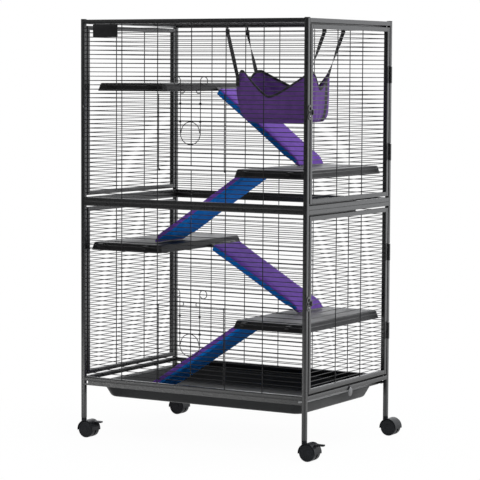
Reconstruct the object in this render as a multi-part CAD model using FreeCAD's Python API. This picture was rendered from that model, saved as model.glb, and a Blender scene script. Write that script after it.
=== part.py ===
import FreeCAD, Part
import math
import os

# Overall sizes in millimetres: floor at z = 0, door end at +X, long front at -Y
WIDTH = 770.0
DEPTH = 525.0
STOREY = 540.0
BASE_Z = 170.0
TUBE = 12.7
TUBE_EDGE = 1.0
CAP_HEIGHT = 2.0
SCREW_ACROSS = 5.5
SCREW_HEAD = 1.4
SCREW_SPREAD = 6.4

# Clearances shared by every fit
GAP = 0.3
RUN_FIT = 0.05

# How far a cutter or a fused root runs past the face that it meets
OVERRUN = 1.0

# Flats in a quarter turn of a moulded corner
CORNER_FLATS = 4

# Sides of small round bars and holes, and of the larger lobes and bends
ROUND_SIDES = 10
LOBE_STEPS = 8
LOOP_STEPS = 10

# Wire grilles
ROWS = 39
ROW_WIRE = 2.2
UPRIGHT_WIRE = 2.8
FRONT_OUTER_X = 241.0
OPENING_X = 116.0
BACK_UPRIGHTS = (0.0, 122.0, 245.0)
SIDE_UPRIGHT_Y = 78.0
ROOF_BARS = 29
ROOF_CROSS_Y = 125.0

# Framed panels of the two short sides
PANEL_GAP = 5.0
LUG_HEIGHT = 16.0
LUG_DEPTH = 4.0
LUG_SHARE = 0.22

# Hinges and hasps of the big doors
HINGE_LENGTH = 50.0
HINGE_UPPER = (0.720, 0.262)
HINGE_LOWER = (0.734, 0.262)
BARREL_R = 3.5
PIN_R = 2.0
LEAF = 1.5
LEAF_WIDTH = 10.5
BARREL_OFF = 4.0
HASP_R = 10.5
HASP_HOLE_R = 5.0
HASP_HOLE_SIDES = 12
HASP_OVER = 1.2
HASP_BARREL_WALL = 1.2
HASP_PLATE = 2.0
HASP_SHARE = 0.512
STUD_R = 2.2
STUD_LENGTH = 4.2
HASP_PIN_R = 1.6

# Small wire doors: rows of the hinge wire and of the top edge in each storey
UPPER_SILL_ROW = 6
UPPER_HEAD_ROW = 23
LOWER_SILL_ROW = 0
LOWER_HEAD_ROW = 17
DOOR_SIDE_GAP = 1.2
DOOR_OFF = 0.4
EYE_R = 3.4
EYE_WIDTH = 4.0
CLIP_WIRE = 2.4
CLIP_RING_R = 34.0
CLIP_LOOP_R = 12.0
CLIP_RING_DROP = 110.0
CLIP_LOOP_RISE = 150.0
CLIP_HOOK_RISE = 114.0
CLIP_HOOK_HEIGHT = 10.0
CLIP_HOOK_REACH = 13.0
GUIDE_HIGH_ROW = 2
GUIDE_LOW_ROW = 6
GUIDE_WALL = 1.2
GUIDE_HEIGHT = 6.0

# Platforms: gap to the posts, length, and the row of its storey that the hooks sit on
UPPER_LEFT_GAP = 27.3
UPPER_LEFT_LENGTH = 242.0
UPPER_LEFT_ROW = 25
LOWER_LEFT_GAP = 4.3
LOWER_LEFT_LENGTH = 248.0
LOWER_LEFT_ROW = 30
RIGHT_GAP = 7.3
RIGHT_LENGTH = 237.0
UPPER_RIGHT_ROW = 6
LOWER_RIGHT_ROW = 14
PLATFORM_SEAT = 6.0
PLATFORM_WALL = 2.5
PLATFORM_CORNER = 14.0
PLATFORM_SIDE = 22.5
SKIRT = 23.0
SKIRT_FLARE = 6.0
RIM_EDGE = 2.0
HOOK_INSET = 45.0
HOOK_WIDTH = 12.0
HOOK_PLATE = 1.8
HOOK_DROP = 5.0

# Ramps
RAMP_WIDTH = 155.0
RAMP_THICK = 18.0
RAMP_ROUND = 5.0
RAMP_START = 12.0
RAMP_BACK_Y = 110.0
RAMP_FRONT_Y = -81.0
RAMP_FEET = (60.7, 63.8, 63.9, 112.0)
BEDDING_ROOM = 2.0
BOARD = 3.0
BOARD_INSET = 6.0
ROD_R = 2.5
ROD_OUT = 7.0
ROD_DOWN = 14.0
CRADLE_WALL = 2.5
CRADLE_WIDTH = 10.0
CRADLE_SPREAD = 45.0

# Tray and its runners
RUNNER = 1.5
RUNNER_LEDGE = 22.5
RUNNER_NOTCH = (12.0, 7.0)
TRAY_DEPTH = 39.0
TRAY_WALL = 2.5
TRAY_FLANGE = 2.0
TRAY_LEFT_GAP = 2.3
TRAY_PAN_LEFT = 32.3
TRAY_PAN_RIGHT = 17.3
TRAY_PAN_SIDE = 37.5
TRAY_TAPER = 18.0
TRAY_CORNER = 30.0
TRAY_SIDE_GAP = 0.8
LOCK_Y = 5.0
LOCK_WIDTH = 11.0
LOCK_LENGTH = 32.0
LOCK_PLATE = 2.0

# Hammock pouch
POUCH_AT_BAR = 7.675
POUCH_Y = -40.0
POUCH_LENGTH = 243.0
POUCH_WIDTH = 108.0
POUCH_HEIGHT = 148.0
POUCH_BELOW_ROOF = 147.0
POUCH_WALL = 3.0
POUCH_CORNER = 22.0
POUCH_BULGE = 5.0
POUCH_FLOOR_INSET = 12.0
POUCH_ROUND = 0.16
POUCH_DIP_SIDES = 28
POUCH_FRONT_DIP = 76.0
POUCH_BACK_DIP = 43.0
POUCH_END_DIP = 51.0
STRAP_WIDTH = 12.0
STRAP_THICK = 1.6
STRAP_LAP = 26.0
STRAP_INSET = 6.0
STRAP_LEFT_BAR = 1
STRAP_RIGHT_BAR = 14
RING_R = 5.0
RING_WIRE = 2.0
RING_SIDES = 8

# Casters
LEG_BOTTOM = 57.0
STEM_R = 4.0
STEM_LENGTH = 38.0
WHEEL_R = 25.0
WHEEL_INNER = 3.6
WHEEL_OUTER = 20.0
WHEEL_EDGE = 3.0
WHEEL_SIDES = 24
TRAIL = 17.5
HOOD_R = 27.5
HOOD_WALL = 1.5
HOOD_HALF = 21.0
HOOD_SIDES = 20
HOOD_DROP = 3.0
WEB_HALF = 3.0
AXLE_R = 3.0
HUB_R = 8.0
BOSS_R = 8.0
BOSS_SIDES = 12
PEDAL_HALF = 8.0
PEDAL_PIN_R = 1.5
PEDAL_BARREL_R = 3.0
PEDAL_OUT = 31.0
PEDAL_ANGLE = 45.0
PEDAL_LENGTH = 25.0
PEDAL_PLATE = 3.0
EAR = 2.0

# Places that follow from the sizes above
HALF_X = WIDTH / 2
HALF_Y = DEPTH / 2
POST_X = HALF_X - TUBE / 2
POST_Y = HALF_Y - TUBE / 2
INNER_X = HALF_X - TUBE
INNER_Y = HALF_Y - TUBE
SEAM_Z = BASE_Z + STOREY
ROOF_Z = BASE_Z + 2 * STOREY
FLOORS = (BASE_Z, SEAM_Z)
LEG_TOP = BASE_Z - TUBE
PITCH = (STOREY - 2 * TUBE) / (ROWS + 1)
UPRIGHT_Y = POST_Y + (ROW_WIRE + UPRIGHT_WIRE) / 2
UPRIGHT_X = POST_X + (ROW_WIRE + UPRIGHT_WIRE) / 2
PANEL_Y = INNER_Y - PANEL_GAP
ROOF_PITCH = 2 * INNER_X / (ROOF_BARS + 1)
TRAY_TOP = LEG_TOP + RUNNER + GAP + TRAY_FLANGE
TRAY_FLOOR = TRAY_TOP - TRAY_DEPTH + TRAY_WALL
PLATFORM_Y = HALF_Y - PLATFORM_SIDE
TRAY_PAN_X = (TRAY_PAN_LEFT - INNER_X, INNER_X - TRAY_PAN_RIGHT)
HINGE_X = HALF_X + BARREL_OFF
HINGE_Y = INNER_Y - PANEL_GAP / 2
HASP_Y = -(INNER_Y + HASP_OVER)
HASP_BARREL_R = HASP_PIN_R + RUN_FIT + HASP_BARREL_WALL
HASP_AXIS_Y = HASP_Y + HASP_R + HASP_BARREL_R + 2 * GAP
HASP_X = HALF_X + GAP
HASP_AXIS_X = HASP_X + HASP_BARREL_R
STUD_Y = -(INNER_Y + STUD_R + GAP)
SMALL_DOOR_X = OPENING_X - UPRIGHT_WIRE - DOOR_SIDE_GAP
SMALL_UPRIGHT_Y = -(POST_Y + ROW_WIRE / 2 + DOOR_OFF + UPRIGHT_WIRE / 2)
SMALL_ROW_Y = SMALL_UPRIGHT_Y - (UPRIGHT_WIRE + ROW_WIRE) / 2
CLIP_BACK_Y = SMALL_ROW_Y - ROW_WIRE / 2
POUCH_X = ROOF_PITCH * POUCH_AT_BAR
POUCH_TOP = ROOF_Z - POUCH_BELOW_ROOF
RING_Z = ROOF_Z - TUBE / 2 + ROW_WIRE / 2 - RING_R
LOCK_Z = BASE_Z + TUBE / 2


def point(axis, along, u, v):
    """Give the point at a place along an axis and (u, v) across it."""
    if axis == "x":
        return FreeCAD.Vector(along, u, v)
    if axis == "y":
        return FreeCAD.Vector(u, along, v)
    return FreeCAD.Vector(u, v, along)


def prism(axis, start, stop, outline):
    """Extrude a closed outline of (u, v) corners along an axis."""
    corners = [point(axis, start, u, v) for u, v in outline]
    face = Part.Face(Part.makePolygon(corners + corners[:1]))
    return face.extrude(point(axis, stop - start, 0, 0))


def box(x, y, z):
    """Block between two x, two y and two z values."""
    corner = FreeCAD.Vector(x[0], y[0], z[0])
    return Part.makeBox(x[1] - x[0], y[1] - y[0], z[1] - z[0], corner)


def rod(axis, start, stop, u, v, radius, sides=ROUND_SIDES):
    """Round bar along an axis, its corners on the circle."""
    return prism(axis, start, stop, polygon(u, v, radius * math.cos(math.pi / sides), sides))


def pin(axis, start, stop, u, v, radius):
    """True round pin along an axis, for the axes that doors and latches turn on."""
    return Part.makeCylinder(radius, stop - start, point(axis, start, u, v), point(axis, 1, 0, 0))


def bore(axis, start, stop, u, v, radius, sides=ROUND_SIDES):
    """Cutter of a round hole along an axis, its flats on the circle."""
    return prism(axis, start, stop, polygon(u, v, radius, sides))


def skin(sections):
    """Solid of flat faces through matching closed outlines of points."""
    faces = [Part.Face(Part.makePolygon(ends + ends[:1])) for ends in (sections[0], sections[-1])]
    for near, far in zip(sections, sections[1:]):
        for k in range(len(near)):
            j = (k + 1) % len(near)
            faces.append(Part.Face(Part.makePolygon([near[k], near[j], far[j], far[k], near[k]])))
    shell = Part.makeShell(faces)
    shell.sewShape()
    solid = Part.Solid(Part.Shell(shell.Faces))
    if solid.Volume < 0:
        solid.reverse()
    return solid


def rectangle(u, v, width, height):
    """Corners of a rectangle round (u, v)."""
    a = width / 2
    b = height / 2
    return [(u - a, v - b), (u + a, v - b), (u + a, v + b), (u - a, v + b)]


def eased_square(u, v, size, edge):
    """Corners of a square tube with eased edges."""
    a = size / 2
    b = a - edge
    return [(u + p, v + q) for p, q in
            ((b, -a), (a, -b), (a, b), (b, a), (-b, a), (-a, b), (-a, -b), (-b, -a))]


def hexagon(u, v, across, flat_u):
    """Corners of a hexagon whose flats face along u, or else along v."""
    a = across / 2
    r = a / math.cos(math.pi / 6)
    corners = ((r, 0), (r / 2, a), (-r / 2, a), (-r, 0), (-r / 2, -a), (r / 2, -a))
    if flat_u:
        return [(u + q, v + p) for p, q in reversed(corners)]
    return [(u + p, v + q) for p, q in corners]


def polygon(u, v, radius, sides):
    """Corners of a regular polygon that the circle of this radius fits in."""
    r = radius / math.cos(math.pi / sides)
    turns = [2 * math.pi * (k + 0.5) / sides for k in range(sides)]
    return [(u + r * math.cos(t), v + r * math.sin(t)) for t in turns]


def rounded(z, x, y, r):
    """Outline of a rectangle at height z, each corner turned in a few flats."""
    ring = []
    for quarter, (cx, cy) in enumerate(((x[1] - r, y[1] - r), (x[0] + r, y[1] - r), (x[0] + r, y[0] + r),
                                        (x[1] - r, y[0] + r))):
        for k in range(CORNER_FLATS + 1):
            t = math.pi / 2 * (quarter + k / CORNER_FLATS)
            ring.append(FreeCAD.Vector(cx + r * math.cos(t), cy + r * math.sin(t), z))
    return ring


def bent_wire(path, y, across):
    """Six-sided wire along a path of (x, z) points in one plane, mitred at each bend."""
    a = across / 2
    r = a / math.cos(math.pi / 6)
    sections = []
    for k, (x, z) in enumerate(path):
        before = path[max(k - 1, 0)]
        after = path[min(k + 1, len(path) - 1)]
        d1 = math.atan2(z - before[1], x - before[0]) if k else None
        d2 = math.atan2(after[1] - z, after[0] - x) if k < len(path) - 1 else d1
        d1 = d2 if d1 is None else d1
        turn = math.atan2(math.sin(d2 - d1), math.cos(d2 - d1))
        side = d1 + turn / 2 + math.pi / 2
        wide = 1 / math.cos(turn / 2)
        ring = []
        for s, t in ((r, 0), (r / 2, a), (-r / 2, a), (-r, 0), (-r / 2, -a), (r / 2, -a)):
            ring.append(FreeCAD.Vector(x + s * wide * math.cos(side), y + t, z + s * wide * math.sin(side)))
        sections.append(ring)
    return skin(sections)


def tube(axis, start, stop, u, v):
    """Length of the square frame tube."""
    return prism(axis, start, stop, eased_square(u, v, TUBE, TUBE_EDGE))


def row_z(storey, row):
    """Height of a wire row in a storey."""
    return FLOORS[storey] + TUBE + PITCH * (row + 1)


def save(node, pieces):
    """Write the solids of one node."""
    shape = pieces[0] if len(pieces) == 1 else Part.makeCompound(pieces)
    shape.exportStep("parts/" + node + ".step")


def storey_frame(storey):
    """Posts and rails of one storey."""
    low = FLOORS[storey]
    foot = LEG_TOP if storey == 0 else low
    pieces = []
    for sx in (-1, 1):
        for sy in (-1, 1):
            pieces.append(tube("z", foot, low + STOREY, sx * POST_X, sy * POST_Y))
    for z in (low + TUBE / 2, low + STOREY - TUBE / 2):
        for side in (-1, 1):
            pieces.append(tube("x", -INNER_X, INNER_X, side * POST_Y, z))
            pieces.append(tube("y", -INNER_Y, INNER_Y, side * POST_X, z))
    return pieces


def row_wire(storey, row, y, x):
    """One wire of a long side."""
    return prism("x", x[0], x[1], rectangle(y, row_z(storey, row), ROW_WIRE, ROW_WIRE))


def upright(x, y, z):
    """One upright wire of a long side."""
    return prism("z", z[0], z[1], hexagon(x, y, UPRIGHT_WIRE, False))


def back_grille(storey):
    """Wires of the back of one storey."""
    z = (FLOORS[storey] + TUBE, FLOORS[storey] + STOREY - TUBE)
    pieces = [row_wire(storey, k, POST_Y, (-INNER_X, INNER_X)) for k in range(ROWS)]
    for x in sorted(set(s * u for u in BACK_UPRIGHTS for s in (-1, 1))):
        pieces.append(upright(x, UPRIGHT_Y, z))
    return pieces


def front_grille(storey, sill, head):
    """Wires of the front of one storey, with the opening of the small door."""
    low = FLOORS[storey] + TUBE
    high = FLOORS[storey] + STOREY - TUBE
    end = OPENING_X - UPRIGHT_WIRE / 2
    pieces = [pin("x", -INNER_X, INNER_X, -POST_Y, row_z(storey, sill), ROW_WIRE / 2)]
    for k in range(ROWS):
        if sill < k < head:
            pieces.append(row_wire(storey, k, -POST_Y, (-INNER_X, -end)))
            pieces.append(row_wire(storey, k, -POST_Y, (end, INNER_X)))
        elif k != sill:
            pieces.append(row_wire(storey, k, -POST_Y, (-INNER_X, INNER_X)))
    for x in (-FRONT_OUTER_X, -OPENING_X, OPENING_X, FRONT_OUTER_X):
        pieces.append(upright(x, -UPRIGHT_Y, (low, high)))
    pieces.append(upright(0, -UPRIGHT_Y, (row_z(storey, head) + ROW_WIRE + DOOR_SIDE_GAP, high)))
    if sill > 0:
        pieces.append(upright(0, -UPRIGHT_Y, (low, row_z(storey, sill))))
    return pieces


def panel_z(storey):
    """Low and high edge of a framed panel."""
    return (FLOORS[storey] + TUBE + PANEL_GAP, FLOORS[storey] + STOREY - TUBE - PANEL_GAP)


def panel_frame(storey, side):
    """Tube frame of a short side."""
    low, high = panel_z(storey)
    x = side * POST_X
    pieces = []
    for s in (-1, 1):
        pieces.append(tube("z", low, high, x, s * (PANEL_Y - TUBE / 2)))
    for z in (low + TUBE / 2, high - TUBE / 2):
        pieces.append(tube("y", TUBE - PANEL_Y, PANEL_Y - TUBE, x, z))
    return pieces


def panel_grille(storey, side):
    """Wires inside the tube frame of a short side."""
    low, high = panel_z(storey)
    reach = PANEL_Y - TUBE
    pieces = []
    for k in range(ROWS):
        z = row_z(storey, k)
        if low + TUBE + ROW_WIRE < z < high - TUBE - ROW_WIRE:
            pieces.append(prism("y", -reach, reach, rectangle(side * POST_X, z, ROW_WIRE, ROW_WIRE)))
    for y in (-SIDE_UPRIGHT_Y, SIDE_UPRIGHT_Y):
        pieces.append(prism("z", low + TUBE, high - TUBE, hexagon(side * UPRIGHT_X, y, UPRIGHT_WIRE, True)))
    return pieces


def panel_lugs(storey):
    """Lugs that hold a fixed panel to its posts."""
    low, high = panel_z(storey)
    pieces = []
    for share in (LUG_SHARE, 1 - LUG_SHARE):
        z = low + share * (high - low)
        for y in ((-INNER_Y, -PANEL_Y), (PANEL_Y, INNER_Y)):
            x = (-POST_X - LUG_DEPTH / 2, -POST_X + LUG_DEPTH / 2)
            pieces.append(box(x, y, (z - LUG_HEIGHT / 2, z + LUG_HEIGHT / 2)))
    return pieces


def roof_grille():
    """Bars across the roof and the three wires under them."""
    z = ROOF_Z - TUBE / 2
    pieces = []
    for k in range(ROOF_BARS):
        x = ROOF_PITCH * (k - (ROOF_BARS - 1) / 2)
        pieces.append(prism("y", -INNER_Y, INNER_Y, rectangle(x, z, ROW_WIRE, ROW_WIRE)))
    for y in (-ROOF_CROSS_Y, 0, ROOF_CROSS_Y):
        cross = hexagon(y, z - (ROW_WIRE + UPRIGHT_WIRE) / 2, UPRIGHT_WIRE, False)
        pieces.append(prism("x", -INNER_X, INNER_X, cross))
    return pieces


def hinge_heights(storey):
    """Middle heights of the two hinges of a big door."""
    low, high = panel_z(storey)
    shares = HINGE_UPPER if storey else HINGE_LOWER
    return [low + share * (high - low) for share in shares]


def hinge_leaf(z, side, knuckles):
    """Leaf of a hinge on one side of its barrel, with its knuckles."""
    near = BARREL_R + GAP
    edges = sorted((HINGE_Y + side * near, HINGE_Y + side * (near + LEAF_WIDTH)))
    x = (HALF_X, HALF_X + LEAF)
    leaf = box(x, edges, (z - HINGE_LENGTH / 2, z + HINGE_LENGTH / 2))
    for low, high in knuckles:
        root = sorted((HINGE_Y, HINGE_Y + side * (near + OVERRUN)))
        leaf = leaf.fuse(box(x, root, (low, high)))
        leaf = leaf.fuse(rod("z", low, high, HINGE_X, HINGE_Y, BARREL_R))
    hole = bore("z", z - HINGE_LENGTH, z + HINGE_LENGTH, HINGE_X, HINGE_Y, PIN_R + RUN_FIT)
    return leaf.cut(hole).removeSplitter()


def post_leaf(z):
    """Hinge leaf on the post, with the two outer knuckles."""
    third = HINGE_LENGTH / 6
    return hinge_leaf(z, 1, ((z - 3 * third, z - third), (z + third, z + 3 * third)))


def door_leaf(z):
    """Hinge leaf on the door, with the middle knuckle."""
    third = HINGE_LENGTH / 6
    return hinge_leaf(z, -1, ((z - third + GAP, z + third - GAP),))


def hinge_pin(z):
    """Pin of a hinge with its round head."""
    top = z + HINGE_LENGTH / 2
    shank = pin("z", z - HINGE_LENGTH / 2, top, HINGE_X, HINGE_Y, PIN_R)
    return shank.fuse(rod("z", top, top + LEAF, HINGE_X, HINGE_Y, BARREL_R))


def hasp_z(storey):
    """Middle height of a door hasp."""
    low, high = panel_z(storey)
    return low + HASP_SHARE * (high - low)


def hasp_outline(z):
    """Outline of a plate of two round lobes, one above the other."""
    corners = []
    for lobe, first in ((z + HASP_R, -30), (z - HASP_R, 150)):
        for k in range(LOBE_STEPS + 1):
            t = math.radians(first + 240 * k / LOBE_STEPS)
            corners.append((HASP_Y + HASP_R * math.cos(t), lobe + HASP_R * math.sin(t)))
    return corners


def hasp(storey):
    """Hasp plate with two holes and a barrel along its hinge edge."""
    z = hasp_z(storey)
    face = (HASP_X, HASP_X + HASP_PLATE)
    plate = prism("x", face[0], face[1], hasp_outline(z))
    for s in (-1, 1):
        hole = polygon(HASP_Y, z + s * HASP_R, HASP_HOLE_R, HASP_HOLE_SIDES)
        plate = plate.cut(prism("x", face[0] - OVERRUN, face[1] + OVERRUN, hole))
    low = z - HASP_R / 2
    high = z + HASP_R / 2
    root = HASP_Y + HASP_R * math.cos(math.pi / 6) - OVERRUN
    plate = plate.fuse(box(face, (root, HASP_AXIS_Y), (low, high)))
    plate = plate.fuse(rod("z", low, high, HASP_AXIS_X, HASP_AXIS_Y, HASP_BARREL_R))
    hole = bore("z", low - OVERRUN, high + OVERRUN, HASP_AXIS_X, HASP_AXIS_Y, HASP_PIN_R + RUN_FIT)
    return plate.cut(hole).removeSplitter()


def hasp_pivot(storey):
    """Two ears on the door tube with the pin that the hasp turns on."""
    z = hasp_z(storey)
    reach = HASP_R / 2 + GAP
    x = (HALF_X, HASP_AXIS_X + HASP_PIN_R)
    y = (HASP_AXIS_Y - HASP_BARREL_R, HASP_AXIS_Y + HASP_BARREL_R)
    pivot = box(x, y, (z - reach - EAR, z - reach)).fuse(box(x, y, (z + reach, z + reach + EAR)))
    ends = (z - reach - OVERRUN, z + reach + OVERRUN)
    return pivot.fuse(pin("z", ends[0], ends[1], HASP_AXIS_X, HASP_AXIS_Y, HASP_PIN_R))


def small_door(storey, sill, head):
    """Wire door that hangs on a wire of the front, with the guides of its clip."""
    low = row_z(storey, sill)
    top = row_z(storey, head) + ROW_WIRE
    pieces = []
    for s in (-1, 1):
        x = s * SMALL_DOOR_X
        wire = upright(x, SMALL_UPRIGHT_Y, (low, top))
        wire = wire.fuse(rod("x", x - EYE_WIDTH / 2, x + EYE_WIDTH / 2, -POST_Y, low, EYE_R))
        hole = bore("x", x - EYE_WIDTH, x + EYE_WIDTH, -POST_Y, low, ROW_WIRE / 2 + GAP)
        pieces.append(wire.cut(hole))
    pieces.append(upright(0, SMALL_UPRIGHT_Y, (row_z(storey, sill + 1) - ROW_WIRE / 2, top)))
    reach = SMALL_DOOR_X + UPRIGHT_WIRE / 2
    for k in range(sill + 1, head + 1):
        pieces.append(row_wire(storey, k, SMALL_ROW_Y, (-reach, reach)))
    for k in (GUIDE_HIGH_ROW, GUIDE_LOW_ROW):
        for s in (-1, 1):
            pieces.append(clip_guide(s * CLIP_RING_R, row_z(storey, head - k)))
    return pieces


def clip_guide(x, z):
    """Staple round one leg of the wire clip."""
    wide = CLIP_WIRE / math.cos(math.pi / 6) / 2 + GAP
    depth = CLIP_WIRE + 2 * GAP
    high = (z - GUIDE_HEIGHT / 2, z + GUIDE_HEIGHT / 2)
    outer = wide + GUIDE_WALL
    staple = box((x - outer, x + outer), (CLIP_BACK_Y - depth - GUIDE_WALL, CLIP_BACK_Y), high)
    room = (z - GUIDE_HEIGHT, z + GUIDE_HEIGHT)
    return staple.cut(box((x - wide, x + wide), (CLIP_BACK_Y - depth, CLIP_BACK_Y + OVERRUN), room))


def wire_clip(storey, head):
    """Sprung wire clip: two legs with end loops, a finger ring and two small hooks."""
    zero = row_z(storey, head) - CLIP_RING_DROP
    loop_z = zero + CLIP_LOOP_RISE
    loop_x = CLIP_RING_R + CLIP_LOOP_R
    right = []
    for k in range(LOOP_STEPS + 1):
        t = math.radians(-150 + 330 * k / LOOP_STEPS)
        right.append((loop_x + CLIP_LOOP_R * math.cos(t), loop_z + CLIP_LOOP_R * math.sin(t)))
    arc = []
    for k in range(LOBE_STEPS + 1):
        t = math.radians(-180 * k / LOBE_STEPS)
        arc.append((CLIP_RING_R * math.cos(t), zero + CLIP_RING_R * math.sin(t)))
    left = [(-x, z) for x, z in reversed(right)]
    y = CLIP_BACK_Y - GAP - CLIP_WIRE / 2
    pieces = [bent_wire(right + arc + left, y, CLIP_WIRE)]
    inside = CLIP_RING_R - CLIP_WIRE / math.cos(math.pi / 6)
    crown = []
    for k in range(LOBE_STEPS + 1):
        t = math.radians(180 * k / LOBE_STEPS)
        crown.append((inside * math.cos(t), zero + inside * math.sin(t)))
    pieces.append(bent_wire(crown, y, CLIP_WIRE))
    edge = CLIP_RING_R - CLIP_WIRE / math.cos(math.pi / 6) / 2
    tip = CLIP_RING_R - CLIP_HOOK_REACH
    low = zero + CLIP_HOOK_RISE
    mid = low + CLIP_HOOK_HEIGHT / 2
    bend = CLIP_HOOK_HEIGHT / 2
    for s in (-1, 1):
        nose = tip + CLIP_WIRE / 2
        hook = [(s * edge, low), (s * (tip + bend), low), (s * nose, mid - bend / 2),
                (s * nose, mid + bend / 2), (s * (tip + bend), low + CLIP_HOOK_HEIGHT),
                (s * edge, low + CLIP_HOOK_HEIGHT)]
        pieces.append(bent_wire(hook, y, CLIP_WIRE))
    return pieces


def platform_top(place):
    """Height of a platform's top."""
    return row_z(place[2], place[3]) + PLATFORM_SEAT


def skirt_wire(place, z, inset):
    """Outline of a platform's flared skirt at a height, drawn in by an inset."""
    out = SKIRT_FLARE * (1 - (platform_top(place) - z) / SKIRT) + inset
    x = (place[0] + out, place[1] - out)
    y = (out - PLATFORM_Y, PLATFORM_Y - out)
    return rounded(z, x, y, PLATFORM_CORNER - inset)


def platform(place, edge, ramp_y):
    """Inverted tray with four wire hooks and, at one edge, two cradles for a ramp rod."""
    top = platform_top(place)
    low = top - SKIRT
    outer = [skirt_wire(place, z, inset) for z, inset in ((top, RIM_EDGE), (top - RIM_EDGE, 0), (low, 0))]
    inner = [skirt_wire(place, z, PLATFORM_WALL) for z in (top - PLATFORM_WALL, low - OVERRUN)]
    shape = skin(outer).cut(skin(inner))
    for x in (place[0] + HOOK_INSET, place[1] - HOOK_INSET):
        for side in (-1, 1):
            shape = shape.fuse(wire_hook(place, x, side))
    for s in (-1, 1):
        shape = shape.fuse(cradle(place, edge, ramp_y + s * CRADLE_SPREAD))
    return shape.removeSplitter()


def wire_hook(place, x, side):
    """Tab that reaches from the skirt over a wire row and down behind it."""
    seat = row_z(place[2], place[3]) + ROW_WIRE / 2
    start = PLATFORM_Y - SKIRT_FLARE - PLATFORM_WALL / 2 + SKIRT_FLARE * (platform_top(place) - seat) / SKIRT
    back = POST_Y + ROW_WIRE / 2 + GAP
    wide = (x - HOOK_WIDTH / 2, x + HOOK_WIDTH / 2)
    arm = box(wide, sorted((side * start, side * (back + HOOK_PLATE))), (seat, seat + HOOK_PLATE))
    lip = sorted((side * back, side * (back + HOOK_PLATE)))
    return arm.fuse(box(wide, lip, (seat - ROW_WIRE - HOOK_DROP, seat + HOOK_PLATE)))


def rod_place(place, edge):
    """Axis (x, z) of the ramp rod at a platform's low x (-1) or high x (1) edge."""
    x = place[1] + ROD_OUT if edge > 0 else place[0] - ROD_OUT
    return (x, platform_top(place) - ROD_DOWN)


def cradle(place, edge, y):
    """Half-round cradle that a ramp rod lies in."""
    x, z = rod_place(place, edge)
    inner = ROD_R + RUN_FIT
    outer = inner + CRADLE_WALL
    wide = (y - CRADLE_WIDTH / 2, y + CRADLE_WIDTH / 2)
    root = x - edge * (ROD_OUT + PLATFORM_WALL)
    shape = rod("y", wide[0], wide[1], x, z, outer)
    shape = shape.fuse(box(sorted((root, x)), wide, (z - outer, z - inner)))
    past = (wide[0] - OVERRUN, wide[1] + OVERRUN)
    shape = shape.cut(bore("y", past[0], past[1], x, z, inner))
    return shape.cut(box((x - 2 * outer, x + 2 * outer), past, (z, z + 2 * outer)))


def ramp(place, edge, y, foot):
    """Board with its rod, and the soft cover, hung on a platform with its foot at a place (x, z)."""
    x, z = rod_place(place, edge)
    half = RAMP_THICK / 2
    run = abs(foot[0] - x)
    drop = z - foot[1]
    length = math.sqrt(run * run + drop * drop - half * half)
    slope = math.atan2(drop, run) - math.atan2(half, length)
    wide = RAMP_WIDTH / 2
    plate = wide - BOARD_INSET
    end = length - BOARD_INSET
    board = box((0, end), (-plate, plate), (-BOARD / 2, BOARD / 2))
    clear = ROD_R + RUN_FIT + CRADLE_WALL + GAP
    for s in (-1, 1):
        mid = s * CRADLE_SPREAD
        notch = CRADLE_WIDTH / 2 + GAP
        board = board.cut(box((-clear, clear), (mid - notch, mid + notch), (-BOARD, BOARD)))
    board = board.fuse(rod("y", -plate, plate, 0, 0, ROD_R))
    cover = box((RAMP_START, length), (-wide, wide), (-half, half))
    long_edges = [e for e in cover.Edges if abs(e.Vertexes[0].X - e.Vertexes[1].X) > half]
    cover = cover.makeFillet(RAMP_ROUND, long_edges)
    room = BOARD / 2 + GAP
    cover = cover.cut(box((RAMP_START - OVERRUN, end + GAP), (-plate - GAP, plate + GAP), (-room, room)))
    pieces = []
    for shape in (board, cover):
        if edge < 0:
            shape = shape.mirror(FreeCAD.Vector(0, 0, 0), FreeCAD.Vector(1, 0, 0))
        shape.rotate(FreeCAD.Vector(0, 0, 0), FreeCAD.Vector(0, 1, 0), edge * math.degrees(slope))
        shape.translate(FreeCAD.Vector(x, y, z))
        pieces.append(shape)
    return pieces


def tray_runner(side):
    """Angle under a long base rail, its upright leg notched at both ends."""
    a, b = RUNNER_NOTCH
    end = INNER_X
    leg = [(-end, LEG_TOP), (end, LEG_TOP), (end, BASE_Z - b), (end - a, BASE_Z - b), (end - a, BASE_Z),
           (a - end, BASE_Z), (a - end, BASE_Z - b), (-end, BASE_Z - b)]
    y = sorted((side * HALF_Y, side * (HALF_Y - RUNNER)))
    ledge = sorted((side * HALF_Y, side * (HALF_Y - RUNNER_LEDGE)))
    angle = prism("y", y[0], y[1], leg).fuse(box((-end, end), ledge, (LEG_TOP, LEG_TOP + RUNNER)))
    return angle.removeSplitter()


def pan_wire(z, inset):
    """Outline of the tray's pan at a height, drawn in by an inset."""
    out = TRAY_TAPER * (TRAY_TOP - z) / TRAY_DEPTH + inset
    side = HALF_Y - TRAY_PAN_SIDE - out
    return rounded(z, (TRAY_PAN_X[0] + out, TRAY_PAN_X[1] - out), (-side, side), TRAY_CORNER - inset)


def tray():
    """Pan with sloping walls and a flange that slides on the runners."""
    side = INNER_Y - TRAY_SIDE_GAP
    reach = (TRAY_LEFT_GAP - INNER_X, INNER_X - GAP)
    flange = box(reach, (-side, side), (TRAY_TOP - TRAY_FLANGE, TRAY_TOP))
    pan = skin([pan_wire(TRAY_TOP - TRAY_DEPTH, 0), pan_wire(TRAY_TOP, 0)])
    room = skin([pan_wire(TRAY_FLOOR, TRAY_WALL), pan_wire(TRAY_TOP + OVERRUN, TRAY_WALL)])
    return flange.fuse(pan).cut(room).removeSplitter()


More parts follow.
